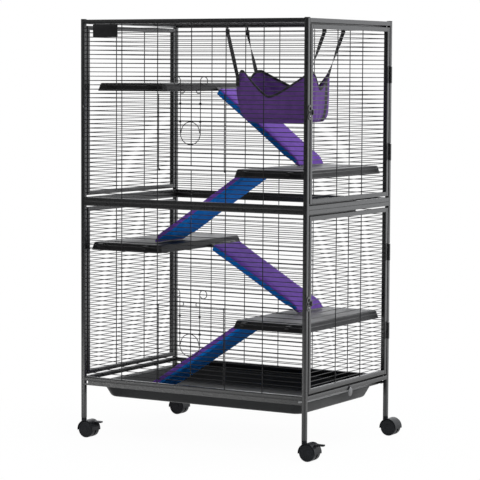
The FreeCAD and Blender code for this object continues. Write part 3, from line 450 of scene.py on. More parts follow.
class Bench:
    """Modelling moves that every sub-assembly uses."""

    FLARE = 1.35
    FLARE_LENGTH = 1.3

    @staticmethod
    def clear() -> None:
        """Leave edit mode and drop the selection."""
        if bpy.context.object and bpy.context.object.mode != "OBJECT":
            bpy.ops.object.mode_set(mode="OBJECT")
        bpy.ops.object.select_all(action="DESELECT")

    @staticmethod
    def only(obj: Object) -> None:
        """Make one object the selected and active one.

        Args:
            obj: Object to work on.
        """
        Bench.clear()
        obj.select_set(True)
        bpy.context.view_layer.objects.active = obj

    @staticmethod
    def settle(obj: Object) -> None:
        """Put the object's place into its mesh."""
        Bench.only(obj)
        bpy.ops.object.transform_apply(location=True, rotation=True, scale=True)

    @staticmethod
    @contextmanager
    def editing() -> Iterator[None]:
        """Hold the active object in edit mode.

        Returns:
            A context that goes back to object mode at its end.
        """
        bpy.ops.object.mode_set(mode="EDIT")
        yield
        bpy.ops.object.mode_set(mode="OBJECT")

    @staticmethod
    def tidy_normals() -> None:
        """Turn all faces outwards, in edit mode."""
        bpy.ops.mesh.select_all(action="SELECT")
        bpy.ops.mesh.normals_make_consistent(inside=False)

    @staticmethod
    def pick(obj: Object, test: Callable[[Vector], bool]) -> None:
        """Select the vertices that pass a test, in edit mode.

        Args:
            obj: Object in edit mode.
            test: Function of a vertex place that says whether it is picked.
        """
        bpy.ops.mesh.select_mode(type="VERT")
        mesh = bmesh.from_edit_mesh(obj.data)
        for vert in mesh.verts:
            vert.select = bool(test(vert.co))
        mesh.select_flush_mode()
        bmesh.update_edit_mesh(obj.data)

    @staticmethod
    def pick_faces(obj: Object, test: Test) -> None:
        """Select the faces that pass a test, in edit mode.

        Args:
            obj: Object in edit mode.
            test: Function of a face's middle and normal.
        """
        bpy.ops.mesh.select_mode(type="FACE")
        bpy.ops.mesh.select_all(action="DESELECT")
        mesh = bmesh.from_edit_mesh(obj.data)
        for face in mesh.faces:
            face.select = bool(test(face.calc_center_median(), face.normal))
        bmesh.update_edit_mesh(obj.data)

    @staticmethod
    def ease(obj: Object, test: Test, width: float, steps: int) -> None:
        """Round the edges that pass a test, in edit mode.

        Args:
            obj: Object in edit mode.
            test: Function of the places of an edge's two ends.
            width: Width of the rounding.
            steps: Segments of the rounding.
        """
        Bench.pick_edges(obj, test)
        bpy.ops.mesh.bevel(offset=width, segments=steps, affect="EDGES")

    @staticmethod
    def pick_edges(obj: Object, test: Test) -> None:
        """Select the edges that pass a test, in edit mode.

        Args:
            obj: Object in edit mode.
            test: Function of the places of an edge's two ends.
        """
        bpy.ops.mesh.select_mode(type="EDGE")
        bpy.ops.mesh.select_all(action="DESELECT")
        mesh = bmesh.from_edit_mesh(obj.data)
        for edge in mesh.edges:
            edge.select = bool(test(edge.verts[0].co, edge.verts[1].co))
        bmesh.update_edit_mesh(obj.data)

    @staticmethod
    def along(axis: Axis) -> Test:
        """Test for edges that run along an axis."""
        return lambda a, b: abs(a[axis.value] - b[axis.value]) > APART

    @staticmethod
    def box(x: Pair, y: Pair, z: Pair, ease: float = 0.0, steps: int = 2) -> Object:
        """Cube between two places along each axis, in any order.

        Args:
            x: Ends along X.
            y: Ends along Y.
            z: Ends along Z.
            ease: Width of the rounding of all its edges.
            steps: Segments of the rounding.

        Returns:
            The box, in object mode.
        """
        Bench.clear()
        low, high = (Vector(ends) for ends in zip(*(sorted(pair) for pair in (x, y, z))))
        bpy.ops.mesh.primitive_cube_add(size=1, location=(low + high) / 2, scale=high - low)
        obj = bpy.context.object
        Bench.settle(obj)
        if ease:
            with Bench.editing():
                bpy.ops.mesh.select_all(action="SELECT")
                bpy.ops.mesh.bevel(offset=ease, segments=steps, affect="EDGES")
        return obj

    @staticmethod
    def round_bar(axis: Axis, ends: Pair, across: Pair, radius: float, sides: int,
                  ease: float = 0.0) -> Object:
        """Round bar along an axis, its end edges eased.

        Args:
            axis: Direction of the bar.
            ends: Where it begins and ends along the axis.
            across: The two other coordinates of its middle, in X, Y, Z order.
            radius: Radius of the bar.
            sides: Faces round the bar.
            ease: Width of the rounding of the two ends.

        Returns:
            The bar, in object mode.
        """
        Bench.clear()
        k = axis.value
        place = list(across)
        place.insert(k, sum(ends) / 2)
        turn = {Axis.X: (0, math.pi / 2, 0), Axis.Y: (math.pi / 2, 0, 0), Axis.Z: (0, 0, 0)}[axis]
        bpy.ops.mesh.primitive_cylinder_add(vertices=sides, radius=radius, depth=abs(ends[1] - ends[0]),
                                            location=place, rotation=turn)
        obj = bpy.context.object
        Bench.settle(obj)
        if ease:
            with Bench.editing():
                Bench.ease(obj, lambda a, b: abs(a[k] - b[k]) < EXACT, ease, 2)
        return obj

    @staticmethod
    def wire(axis: Axis, ends: Pair, across: Pair, radius: float) -> Object:
        """Straight drawn wire, each end flared by its weld.

        Args:
            axis: Direction of the wire.
            ends: Where it begins and ends along the axis.
            across: The two other coordinates of its middle, in X, Y, Z order.
            radius: Radius of the wire.

        Returns:
            The wire, in object mode.
        """
        obj = Bench.round_bar(axis, ends, across, radius, sides=8)
        k = axis.value
        normal = Vector((0, 0, 0))
        normal[k] = 1
        spread = [Bench.FLARE] * 3
        spread[k] = 1
        with Bench.editing():
            for end, inward in zip(ends, (1, -1)):
                cut = Vector((0, 0, 0))
                cut[k] = end + inward * radius * Bench.FLARE_LENGTH
                bpy.ops.mesh.select_all(action="SELECT")
                bpy.ops.mesh.bisect(plane_co=cut, plane_no=normal)
                Bench.pick(obj, lambda co, end=end: abs(co[k] - end) < SAME)
                bpy.ops.transform.resize(value=spread)
        return obj

    @staticmethod
    def hoop(axis: Axis, centre: Vector, radii: Pair, width: float, first: float = 0.0, sweep: float = 360.0,
             steps: int = 24) -> Object:
        """Turn a rectangle round an axis.

        Args:
            axis: Axis of the hoop.
            centre: Middle of the hoop.
            radii: Inner and outer radius.
            width: Length along the axis.
            first: Angle of the first section in degrees, counted from the next axis in X, Y, Z order.
            sweep: Angle that the hoop covers in degrees.
            steps: Segments of the sweep.

        Returns:
            The hoop, its place in its mesh.
        """
        along = Vector((0, 0, 0))
        along[axis.value] = 1
        side = Vector((0, 0, 0))
        side[(axis.value + 1) % 3] = 1
        radial = Matrix.Rotation(math.radians(first), 3, along) @ side
        turn = Matrix((radial, along, radial.cross(along))).transposed().to_euler()
        middle = Vector(centre) + radial * (radii[0] + radii[1]) / 2
        Bench.clear()
        bpy.ops.mesh.primitive_plane_add(size=1, location=middle, rotation=turn)
        obj = bpy.context.object
        obj.scale = (radii[1] - radii[0], width, 1)
        Bench.settle(obj)
        with Bench.editing():
            bpy.ops.mesh.select_all(action="SELECT")
            angle = -math.radians(sweep)
            bpy.ops.mesh.spin(steps=steps, dupli=False, angle=angle, center=centre, axis=along)
            bpy.ops.mesh.select_all(action="SELECT")
            bpy.ops.mesh.remove_doubles(threshold=SAME)
            if sweep >= 360:
                Bench.pick_faces(obj, lambda at, normal: (at - middle).length < NEAR)
                bpy.ops.mesh.delete(type="ONLY_FACE")
            Bench.tidy_normals()
        return obj

    @staticmethod
    def repeat(obj: Object, step: Vector, count: int) -> Object:
        """Copy a piece in equal steps within its own mesh.

        Args:
            obj: Piece to copy.
            step: Offset from one copy to the next.
            count: How many there are in all.

        Returns:
            The same object.
        """
        Bench.only(obj)
        array = obj.modifiers.new("row", "ARRAY")
        array.use_relative_offset = False
        array.use_constant_offset = True
        array.constant_offset_displace = step
        array.count = count
        bpy.ops.object.modifier_apply(modifier=array.name)
        return obj

    @staticmethod
    def thicken(obj: Object, wall: float) -> None:
        """Give a sheet a wall on its inner side.

        Args:
            obj: Sheet.
            wall: Thickness of the wall.
        """
        Bench.only(obj)
        thick = obj.modifiers.new("wall", "SOLIDIFY")
        thick.thickness = wall
        thick.offset = -1
        bpy.ops.object.modifier_apply(modifier=thick.name)

    @staticmethod
    def join(name: str, parts: list[Object]) -> Object:
        """Join pieces into one named object.

        Args:
            name: Name of the result.
            parts: Pieces to join.

        Returns:
            The joined object.
        """
        Bench.clear()
        for part in parts:
            part.select_set(True)
        bpy.context.view_layer.objects.active = parts[0]
        if len(parts) > 1:
            bpy.ops.object.join()
        parts[0].name = name
        parts[0].data.name = name
        return parts[0]

    @staticmethod
    def done(name: str, parts: list[Object], finish: Finish, body: str, *nodes: str, sharp: float = 40.0,
             slot: str = "") -> Object:
        """Join a piece, shade it, give it its material and its body, and hide the CAD nodes that it stands
        for.

        Args:
            name: Name of the piece.
            parts: What it is made of.
            finish: Its surface, unless its mesh has materials.
            body: Body that it moves with.
            nodes: CAD nodes that it replaces.
            sharp: Angle in degrees from which an edge stays sharp.
            slot: The record's material slot, if it isn't the finish's; not used.

        Returns:
            The finished piece.
        """
        obj = Bench.join(name, parts)
        Bench.only(obj)
        bpy.ops.object.shade_smooth_by_angle(angle=math.radians(sharp))
        if not obj.data.materials:
            obj.data.materials.append(finish.material())
        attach(obj, body)
        if nodes:
            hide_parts(*nodes)
        LOG.info("%s: %d faces on %s", obj.name, len(obj.data.polygons), body)
        return obj


class WireBender:
    """Draws a round wire through runs and bends, as on a bending jig."""

    SIDES = 8

    def __init__(self, start: Vector, heading: Vector, radius: float) -> None:
        """Begin a wire.

        Args:
            start: Middle of its first end.
            heading: Direction that it leaves in.
            radius: Radius of the wire.
        """
        Bench.clear()
        turn = Vector(heading).to_track_quat("Z", "Y").to_euler()
        bpy.ops.mesh.primitive_circle_add(vertices=self.SIDES, radius=radius, fill_type="NGON",
                                          location=start, rotation=turn)
        self.obj = bpy.context.object
        bpy.ops.object.mode_set(mode="EDIT")
        bpy.ops.mesh.select_mode(type="FACE")
        bpy.ops.mesh.select_all(action="SELECT")

    def run(self, step: Vector) -> None:
        """Draw a straight length."""
        bpy.ops.mesh.extrude_region_move(TRANSFORM_OT_translate={"value": step})

    def bend(self, centre: Vector, axis: Vector, degrees: float, steps: int) -> None:
        """Turn round a centre on an axis."""
        angle = -math.radians(degrees)
        bpy.ops.mesh.spin(steps=steps, dupli=False, angle=angle, center=centre, axis=axis)

    def finish(self) -> Object:
        """Close the wire.

        Returns:
            The wire as an object, its place in its mesh.
        """
        bpy.ops.mesh.select_all(action="SELECT")
        bpy.ops.mesh.remove_doubles(threshold=SAME)
        bpy.ops.mesh.normals_make_consistent(inside=False)
        bpy.ops.object.mode_set(mode="OBJECT")
        Bench.settle(self.obj)
        return self.obj


@dataclass
class SquareFrame:
    """Posts, rails, legs, caps, screws and door stops of the frame."""

    edge: float = 0.0014
    cap: float = 0.002
    screw_r: float = 0.0031
    screw_head: float = 0.0014
    screw_spread: float = 0.0064
    rivet_r: float = 0.0021
    rivet_at: Pair = (-0.3755, 0.993)
    stop_lap: float = 0.004
    stop_reach: float = 0.008
    stop_thick: float = 0.0012
    stop_end: float = 0.060
    lug: Pair = (0.016, 0.004)
    lug_share: float = 0.22

    def tube(self, axis: Axis, ends: Pair, across: Pair) -> Object:
        """Length of square tube with rounded long edges.

        Args:
            axis: Direction of the tube.
            ends: Where it begins and ends.
            across: The two other coordinates of its middle, in X, Y, Z order.

        Returns:
            The tube, in object mode.
        """
        sides = [around(a, PLAN.tube / 2) for a in across]
        sides.insert(axis.value, ends)
        obj = Bench.box(*sides)
        with Bench.editing():
            Bench.ease(obj, Bench.along(axis), self.edge, 3)
        return obj

    def storey(self, storey: Storey) -> None:
        """Build the posts and rails of one storey.

        Args:
            storey: Storey to build.
        """
        low, high = PLAN.inside(storey, 0.0)
        foot = low - PLAN.tube if storey is Storey.LOWER else low
        parts = [self.tube(Axis.Z, (foot, high), post) for post in PLAN.posts]
        for z in PLAN.inside(storey, PLAN.tube / 2):
            for side in SIDES:
                parts.append(self.tube(Axis.X, around(0, PLAN.inner_x), (side * PLAN.post_y, z)))
                parts.append(self.tube(Axis.Y, around(0, PLAN.inner_y), (side * PLAN.post_x, z)))
        Bench.done(storey.word + "_tubes", parts, FRAME_PAINT, "cage", storey.word + "_frame")

    def panel(self, storey: Storey, side: int) -> None:
        """Build the tube frame of a short side, with its lugs or its latch ears.

        Args:
            storey: Storey that it closes.
            side: Which end: -1 for the fixed panels, 1 for the doors.
        """
        low, high = PLAN.inside(storey, PLAN.tube + PLAN.panel_gap)
        reach = PLAN.inner_y - PLAN.panel_gap
        half = PLAN.tube / 2
        x = side * PLAN.post_x
        parts = [self.tube(Axis.Z, (low, high), (x, s * (reach - half))) for s in SIDES]
        parts += [self.tube(Axis.Y, around(0, reach - PLAN.tube), (x, z)) for z in (low + half, high - half)]
        if side > 0:
            name = body = storey.word + "_door"
            parts += Latches().ears(storey)
        else:
            name = "left_" + storey.word
            body = "cage"
            for share in (self.lug_share, 1 - self.lug_share):
                tall = around(low + share * (high - low), self.lug[0] / 2)
                for y in (-PLAN.inner_y, reach):
                    deep = (y, y + PLAN.panel_gap)
                    parts.append(Bench.box(around(x, self.lug[1] / 2), deep, tall, Ease.SOFT))
        Bench.done(name + "_tubes", parts, FRAME_PAINT, body, name + "_frame")

    def small_pieces(self) -> None:
        """Build the legs, the post caps, the screws at the seam and the rivet."""
        half = PLAN.tube / 2
        legs = []
        caps = []
        screws = []
        for x, y in PLAN.posts:
            legs.append(self.tube(Axis.Z, (PLAN.leg_bottom, PLAN.base - PLAN.tube), (x, y)))
            tall = (PLAN.roof, PLAN.roof + self.cap)
            caps.append(Bench.box(around(x, half), around(y, half), tall, Ease.SOFT))
            face = PLAN.depth / 2
            head = [math.copysign(out, y) for out in (face, face + self.screw_head)]
            for z in around(PLAN.seam, self.screw_spread):
                screws.append(Bench.round_bar(Axis.Y, head, (x, z), self.screw_r, 6, Ease.HAIR))
        Bench.done("leg_tubes", legs, FRAME_PAINT, "cage", "legs")
        Bench.done("post_caps", caps, CAP_PLASTIC, "cage", "corner_caps")
        Bench.done("seam_screws", screws, SCREW_BLACK, "cage", "joint_screws")
        front = -PLAN.depth / 2
        deep = (front, front - self.screw_head / 2)
        rivet = Bench.round_bar(Axis.Y, deep, self.rivet_at, self.rivet_r, 10, Ease.HAIR)
        Bench.done("post_rivet", [rivet], STEEL, "cage")

    def door_stops(self) -> None:
        """Build the strips behind the gaps over and under the big doors."""
        parts = []
        for storey in Storey:
            for rail, inward in zip(PLAN.inside(storey, PLAN.tube), (1, -1)):
                at_seam = abs(rail - PLAN.seam) < PLAN.storey / 2
                deep = (-PLAN.inner_y, self.stop_end if at_seam else PLAN.inner_y)
                tall = (rail - inward * self.stop_lap, rail + inward * self.stop_reach)
                parts.append(Bench.box((PLAN.inner_x - self.stop_thick, PLAN.inner_x), deep, tall, Ease.HAIR))
        Bench.done("door_stops", parts, FRAME_PAINT, "cage")

    def build(self) -> None:
        """Build and dress every tube of the frame."""
        for storey in Storey:
            self.storey(storey)
            for side in SIDES:
                self.panel(storey, side)
        self.small_pieces()
        self.door_stops()


@dataclass
class Grilles:
    """Wires of the long sides, the side panels, the big doors and the roof."""

    outer: float = 0.241
    opening: float = 0.116
    back_uprights: tuple[float, ...] = (0.0, -0.122, 0.122, -0.245, 0.245)
    side_upright: float = 0.078
    roof_bars: int = 29
    roof_cross: float = 0.125
    door_gap: float = 0.0012

    def rows(self, storey: Storey, span: tuple[int, int], y: float, ends: Pair) -> Object:
        """Rows of wire along a long side.

        Args:
            storey: Storey of the rows.
            span: First row, and the row after the last.
            y: Where the rows run.
            ends: Where each wire begins and ends.

        Returns:
            All the rows in one object.
        """
        wire = Bench.wire(Axis.X, ends, (y, PLAN.row(storey, span[0])), PLAN.row_wire / 2)
        return Bench.repeat(wire, (0, 0, PLAN.pitch), span[1] - span[0])

    def upright(self, x: float, y: float, ends: Pair) -> Object:
        """One upright wire."""
        return Bench.wire(Axis.Z, ends, (x, y), PLAN.upright_wire / 2)

    def back(self, storey: Storey) -> None:
        """Build the back of a storey.

        Args:
            storey: Storey to build.
        """
        parts = [self.rows(storey, (0, PLAN.rows), PLAN.post_y, around(0, PLAN.inner_x))]
        for x in self.back_uprights:
            parts.append(self.upright(x, PLAN.post_y + PLAN.upright_off, PLAN.inside(storey, PLAN.tube)))
        self.done("back_" + storey.word, parts)

    def front(self, storey: Storey) -> None:
        """Build the front of a storey with the opening of its small door.

        Args:
            storey: Storey to build.
        """
        sill, head = SmallDoors.ROWS[storey]
        low, high = PLAN.inside(storey, PLAN.tube)
        whole = around(0, PLAN.inner_x)
        end = self.opening - PLAN.upright_wire / 2
        parts = []
        for span, ends in (((0, sill + 1), whole), ((sill + 1, head), (-PLAN.inner_x, -end)),
                           ((sill + 1, head), (end, PLAN.inner_x)), ((head, PLAN.rows), whole)):
            parts.append(self.rows(storey, span, -PLAN.post_y, ends))
        y = -PLAN.post_y - PLAN.upright_off
        for x in (-self.outer, -self.opening, self.opening, self.outer):
            parts.append(self.upright(x, y, (low, high)))
        over = PLAN.row(storey, head) + PLAN.row_wire + self.door_gap
        parts.append(self.upright(0, y, (over, high)))
        if sill > 0:
            parts.append(self.upright(0, y, (low, PLAN.row(storey, sill))))
        self.done("front_" + storey.word, parts)

    def side(self, storey: Storey, side: int) -> None:
        """Build the wires inside the tube frame of a short side.

        Args:
            storey: Storey that it closes.
            side: Which end: -1 for the fixed panels, 1 for the doors.
        """
        low, high = PLAN.inside(storey, 2 * PLAN.tube + PLAN.panel_gap)
        reach = PLAN.inner_y - PLAN.panel_gap - PLAN.tube
        x = side * PLAN.post_x
        heights = [PLAN.row(storey, k) for k in range(PLAN.rows)]
        inside = [z for z in heights if low + PLAN.row_wire < z < high - PLAN.row_wire]
        row = Bench.wire(Axis.Y, around(0, reach), (x, inside[0]), PLAN.row_wire / 2)
        parts = [Bench.repeat(row, (0, 0, PLAN.pitch), len(inside))]
        for y in around(0, self.side_upright):
            parts.append(self.upright(x + side * PLAN.upright_off, y, (low, high)))
        if side < 0:
            self.done("left_" + storey.word, parts)
        else:
            self.done(storey.word + "_door", parts, storey.word + "_door")

    def roof(self) -> None:
        """Build the bars of the roof and the wires under them."""
        z = PLAN.roof - PLAN.tube / 2
        step = 2 * PLAN.inner_x / (self.roof_bars + 1)
        bar = Bench.wire(Axis.Y, around(0, PLAN.inner_y), (step - PLAN.inner_x, z), PLAN.row_wire / 2)
        parts = [Bench.repeat(bar, (step, 0, 0), self.roof_bars)]
        for y in (-self.roof_cross, 0, self.roof_cross):
            at = (y, z - PLAN.upright_off)
            parts.append(Bench.wire(Axis.X, around(0, PLAN.inner_x), at, PLAN.upright_wire / 2))
        self.done("roof", parts)

    def done(self, name: str, parts: list[Object], body: str = "cage") -> None:
        """Join and dress one grille."""
        Bench.done(name + "_wires", parts, WIRE_PAINT, body, name + "_grille", sharp=50)

    def build(self) -> None:
        """Build every grille."""
        self.roof()
        for storey in Storey:
            self.front(storey)
            self.back(storey)
            for side in SIDES:
                self.side(storey, side)


@dataclass
class SmallDoors:
    """Wire doors in the front with their sprung wire clips."""

    half: float = 0.112
    wire_y: float = -0.25905
    row_y: float = -0.26155
    clip_y: float = -0.26415
    clip_r: float = 0.0012
    ring_r: float = 0.034
    loop_r: float = 0.012
    loop_start: float = -150.0
    loop_sweep: float = 330.0
    ring_drop: float = 0.110
    loop_rise: float = 0.150
    hook_rise: float = 0.114
    hook_height: float = 0.010
    hook_reach: float = 0.013
    crown_inset: float = 2.1
    eye_sweep: float = 290.0
    guide_rows: tuple[int, int] = (2, 6)
    guide: Triple = (0.0024, 0.0030, 0.0062)
    guide_wall: float = 0.0012
    guide_clear: float = 0.0005

    ROWS = {Storey.LOWER: (0, 17), Storey.UPPER: (6, 23)}

    def eye_wire(self, x: float, low: float, top: float) -> Object:
        """Side wire of a door, its foot curled round the hinge wire.

        Args:
            x: Where it stands.
            low: Height of the hinge wire.
            top: Height of its top.

        Returns:
            The wire.
        """
        bender = WireBender((x, self.wire_y, top), (0, 0, -1), PLAN.upright_wire / 2)
        bender.run((0, 0, low - top))
        bender.bend((x, -PLAN.post_y, low), (1, 0, 0), self.eye_sweep, 14)
        return bender.finish()

    def door(self, storey: Storey) -> None:
        """Build one small door.

        Args:
            storey: Storey of the door.
        """
        sill, head = self.ROWS[storey]
        low = PLAN.row(storey, sill)
        top = PLAN.row(storey, head) + PLAN.row_wire
        parts = [self.eye_wire(s * self.half, low, top) for s in SIDES]
        first = PLAN.row(storey, sill + 1)
        tall = (first - PLAN.row_wire / 2, top)
        parts.append(Bench.wire(Axis.Z, tall, (0, self.wire_y), PLAN.upright_wire / 2))
        reach = self.half + PLAN.upright_wire / 2
        row = Bench.wire(Axis.X, around(0, reach), (self.row_y, first), PLAN.row_wire / 2)
        parts.append(Bench.repeat(row, (0, 0, PLAN.pitch), head - sill))
        for k in self.guide_rows:
            for s in SIDES:
                parts += self.guide_at(s * self.ring_r, PLAN.row(storey, head - k))
        name = storey.word + "_small_door"
        Bench.done(storey.word + "_hatch", parts, WIRE_PAINT, name, name, sharp=50)

    def guide_at(self, x: float, z: float) -> list[Object]:
        """Staple round one leg of the clip.

        Args:
            x: Middle of the leg.
            z: Height of the staple.

        Returns:
            The sides and the front of the staple.
        """
        wide, deep, tall = self.guide
        back = self.row_y - PLAN.row_wire / 2
        front = back - deep
        inner = wide - self.guide_wall - self.guide_clear
        outer = wide + self.guide_clear
        height = around(z, tall / 2)
        parts = [Bench.box((x + s * inner, x + s * outer), (front, back), height, Ease.HAIR) for s in SIDES]
        parts.append(Bench.box(around(x, outer), (front - self.guide_wall, front), height, Ease.FINE))
        return parts

    def clip(self, storey: Storey) -> None:
        """Bend one clip: end loops, two legs, a finger ring and two hooks.

        Args:
            storey: Storey of the door that it holds.
        """
        y = self.clip_y
        zero = PLAN.row(storey, self.ROWS[storey][1]) - self.ring_drop
        loop_z = zero + self.loop_rise
        loop_x = self.ring_r + self.loop_r
        turn = math.radians(self.loop_start)
        start = (loop_x + self.loop_r * math.cos(turn), y, loop_z + self.loop_r * math.sin(turn))
        bender = WireBender(start, (-math.sin(turn), 0, math.cos(turn)), self.clip_r)
        bender.bend((loop_x, y, loop_z), (0, -1, 0), self.loop_sweep, 22)
        bender.run((0, 0, -self.loop_rise))
        bender.bend((0, y, zero), (0, 1, 0), 180, 24)
        bender.run((0, 0, self.loop_rise))
        bender.bend((-loop_x, y, loop_z), (0, -1, 0), self.loop_sweep, 22)
        parts = [bender.finish()]
        crown = WireBender((self.ring_r - self.crown_inset * self.clip_r, y, zero), (0, 0, 1), self.clip_r)
        crown.bend((0, y, zero), (0, -1, 0), 180, 24)
        parts.append(crown.finish())
        bend = self.hook_height / 2
        low = zero + self.hook_rise
        tip = self.ring_r - self.hook_reach + bend
        root = self.ring_r - self.clip_r
        for s in SIDES:
            hook = WireBender((s * root, y, low), (-s, 0, 0), self.clip_r)
            hook.run((s * (tip - root), 0, 0))
            hook.bend((s * tip, y, low + bend), (0, s, 0), 180, 10)
            hook.run((s * (root - tip), 0, 0))
            parts.append(hook.finish())
        name = storey.word + "_wire_clip"
        Bench.done(storey.word + "_spring_clip", parts, WIRE_PAINT, name, name, sharp=50)

    def build(self) -> None:
        """Build both doors and both clips."""
        for storey in Storey:
            self.door(storey)
            self.clip(storey)


@dataclass
class Latches:
    """Hinges, hasps, studs and the turn button of the tray."""

    hinge_at: Pair = (0.389, 0.2473)
    hinge_length: float = 0.050
    barrel_r: float = 0.0035
    pin_r: float = 0.002
    leaf: Pair = (0.0105, 0.0015)
    leaf_screw: Pair = (0.0026, 0.0009)
    leaf_screw_share: float = 0.55
    knuckle_gap: float = 0.012
    hasp_y: float = -0.251
    hasp_r: float = 0.0105
    hasp_hole: float = 0.005
    hasp_plate: float = 0.002
    hasp_neck: float = 0.004
    hasp_lap: float = 0.002
    hasp_axis: Pair = (0.38815, -0.23705)
    hasp_pin: float = 0.0016
    hasp_pin_lap: float = 0.001
    hasp_barrel: float = 0.00285
    stud_r: float = 0.0022
    stud_length: float = 0.0042
    lock: Triple = (0.011, 0.032, 0.002)
    lock_y: float = 0.005
    lock_round: float = 0.98
    pad: Triple = (0.0125, 0.002, 0.1635)

    SHARES = {Storey.LOWER: (0.734, 0.262), Storey.UPPER: (0.720, 0.262)}
    HASP_SHARE = 0.512

    def height(self, storey: Storey, share: float) -> float:
        """Height at a share of a door's own height."""
        low, high = PLAN.inside(storey, PLAN.tube + PLAN.panel_gap)
        return low + share * (high - low)

    def leaf_at(self, z: float, side: int) -> list[Object]:
        """One leaf of a hinge with its two screws.

        Args:
            z: Middle of the hinge.
            side: 1 for the leaf on the post, -1 for the leaf on the door.

        Returns:
            The pieces of the leaf.
        """
        hinge_y = self.hinge_at[1]
        near = hinge_y + side * (self.barrel_r + PLAN.gap)
        far = near + side * self.leaf[0]
        half = self.hinge_length / 2
        face = PLAN.width / 2
        plate = (face, face + self.leaf[1])
        parts = [Bench.box(plate, (near, far), around(z, half), Ease.SMALL)]
        screw_r, head = self.leaf_screw
        for at in around(z, half * self.leaf_screw_share):
            place = ((near + far) / 2, at)
            parts.append(Bench.round_bar(Axis.X, (plate[1], plate[1] + head), place, screw_r, 16, Ease.FINE))
        third = 1 / 3
        inner = third - self.knuckle_gap
        for low, high in ((-1.0, -third), (third, 1.0)) if side > 0 else ((-inner, inner),):
            middle = z + half * (low + high) / 2
            width = half * (high - low)
            radii = (self.pin_r + PIN_CLEAR, self.barrel_r)
            parts.append(Bench.hoop(Axis.Z, (*self.hinge_at, middle), radii, width))
            parts.append(Bench.box(plate, (hinge_y, near), around(middle, width / 2)))
        return parts

    def hinges(self) -> None:
        """Build the leaves and pins of the four hinges."""
        posts = []
        pins = []
        for storey in Storey:
            leaves = []
            for share in self.SHARES[storey]:
                z = self.height(storey, share)
                posts += self.leaf_at(z, 1)
                leaves += self.leaf_at(z, -1)
                ends = around(z, self.hinge_length / 2)
                head = (ends[1], ends[1] + self.leaf[1])
                pins.append(Bench.round_bar(Axis.Z, ends, self.hinge_at, self.pin_r, 20))
                pins.append(Bench.round_bar(Axis.Z, head, self.hinge_at, self.barrel_r, 20, Ease.SMALL))
            door = storey.word + "_door"
            Bench.done(door + "_leaves", leaves, FRAME_PAINT, door, door + "_hinge_leaves")
        Bench.done("post_leaves", posts, FRAME_PAINT, "cage", "post_hinge_leaves")
        Bench.done("pins", pins, STEEL, "cage", "hinge_pins")

    def ears(self, storey: Storey) -> list[Object]:
        """Two ears and the pin that a hasp turns on.

        Args:
            storey: Storey of the door that carries them.

        Returns:
            The ears and the pin.
        """
        z = self.height(storey, self.HASP_SHARE)
        reach = self.hasp_r / 2 + PLAN.gap
        x, y = self.hasp_axis
        wide = (PLAN.width / 2, x + self.hasp_pin)
        parts = []
        for s in SIDES:
            tall = (z + s * reach, z + s * (reach + self.hasp_plate))
            parts.append(Bench.box(wide, around(y, self.hasp_barrel), tall, Ease.SMALL))
        ends = around(z, reach + self.hasp_pin_lap)
        parts.append(Bench.round_bar(Axis.Z, ends, self.hasp_axis, self.hasp_pin, 16))
        return parts

    def hasp(self, storey: Storey) -> None:
        """Build a latch plate of two ringed lobes with its barrel.

        Args:
            storey: Storey of the door that it holds.
        """
        z = self.height(storey, self.HASP_SHARE)
        face = PLAN.width / 2 + PLAN.gap
        plate = (face, face + self.hasp_plate)
        half = self.hasp_r / 2
        parts = []
        for at in around(z, self.hasp_r):
            centre = (face + self.hasp_plate / 2, self.hasp_y, at)
            radii = (self.hasp_hole, self.hasp_r)
            parts.append(Bench.hoop(Axis.X, centre, radii, self.hasp_plate, steps=32))
        start = self.hasp_y + self.hasp_r * math.cos(math.pi / 6) - self.hasp_lap
        neck = (self.hasp_y - self.hasp_neck, start)
        parts.append(Bench.box(plate, neck, around(z, self.hasp_neck), Ease.FINE))
        parts.append(Bench.box(plate, (start, self.hasp_axis[1]), around(z, half)))
        radii = (self.hasp_pin + PIN_CLEAR, self.hasp_barrel)
        parts.append(Bench.hoop(Axis.Z, (*self.hasp_axis, z), radii, 2 * half))
        name = storey.word + "_hasp"
        Bench.done(storey.word + "_latch_plate", parts, FRAME_PAINT, name, name)

    def studs(self) -> None:
        """Build the studs under the hasps and the pivot of the turn button."""
        face = PLAN.width / 2
        ends = (face, face + self.stud_length)
        y = -(PLAN.inner_y + self.stud_r + PLAN.gap)
        parts = []
        for storey in Storey:
            at = (y, self.height(storey, self.HASP_SHARE) - self.hasp_r)
            parts.append(Bench.round_bar(Axis.X, ends, at, self.stud_r, 20, Ease.PLAIN))
        at = (self.lock_y, PLAN.base + PLAN.tube / 2)
        parts.append(Bench.round_bar(Axis.X, ends, at, self.pin_r, 20, Ease.SMALL))
        Bench.done("studs", parts, STEEL, "cage", "keeper_studs")

    def turn_button(self) -> None:
        """Build the plate that hangs in front of the tray and its round pad."""
        wide, tall, thick = self.lock
        x = PLAN.width / 2 + PLAN.gap
        top = PLAN.base + PLAN.tube / 2 + wide / 2
        obj = Bench.box((x, x + thick), around(self.lock_y, wide / 2), (top - tall, top))
        with Bench.editing():
            Bench.ease(obj, Bench.along(Axis.X), wide / 2 * self.lock_round, 10)
            Bench.ease(obj, lambda a, b: abs(a.x - b.x) < SAME and a.x > x + thick / 2, Ease.FINE, 2)
        Bench.done("turn_button", [obj], CAP_PLASTIC, "tray_lock", "tray_lock", slot="frame_paint")
        radius, deep, z = self.pad
        back = x + thick - Ease.SMALL
        pad = Bench.round_bar(Axis.X, (back, back + deep), (self.lock_y, z), radius, 36, Ease.PLAIN)
        # The pad is painted paler than the frame: a painted highlight.
        Bench.done("turn_button_pad", [pad], PAD_PAINTED_HIGHLIGHT, "tray_lock")

    def build(self) -> None:
        """Build all the hardware of the doors and the tray."""
        self.hinges()
        for storey in Storey:
            self.hasp(storey)
        self.studs()
        self.turn_button()


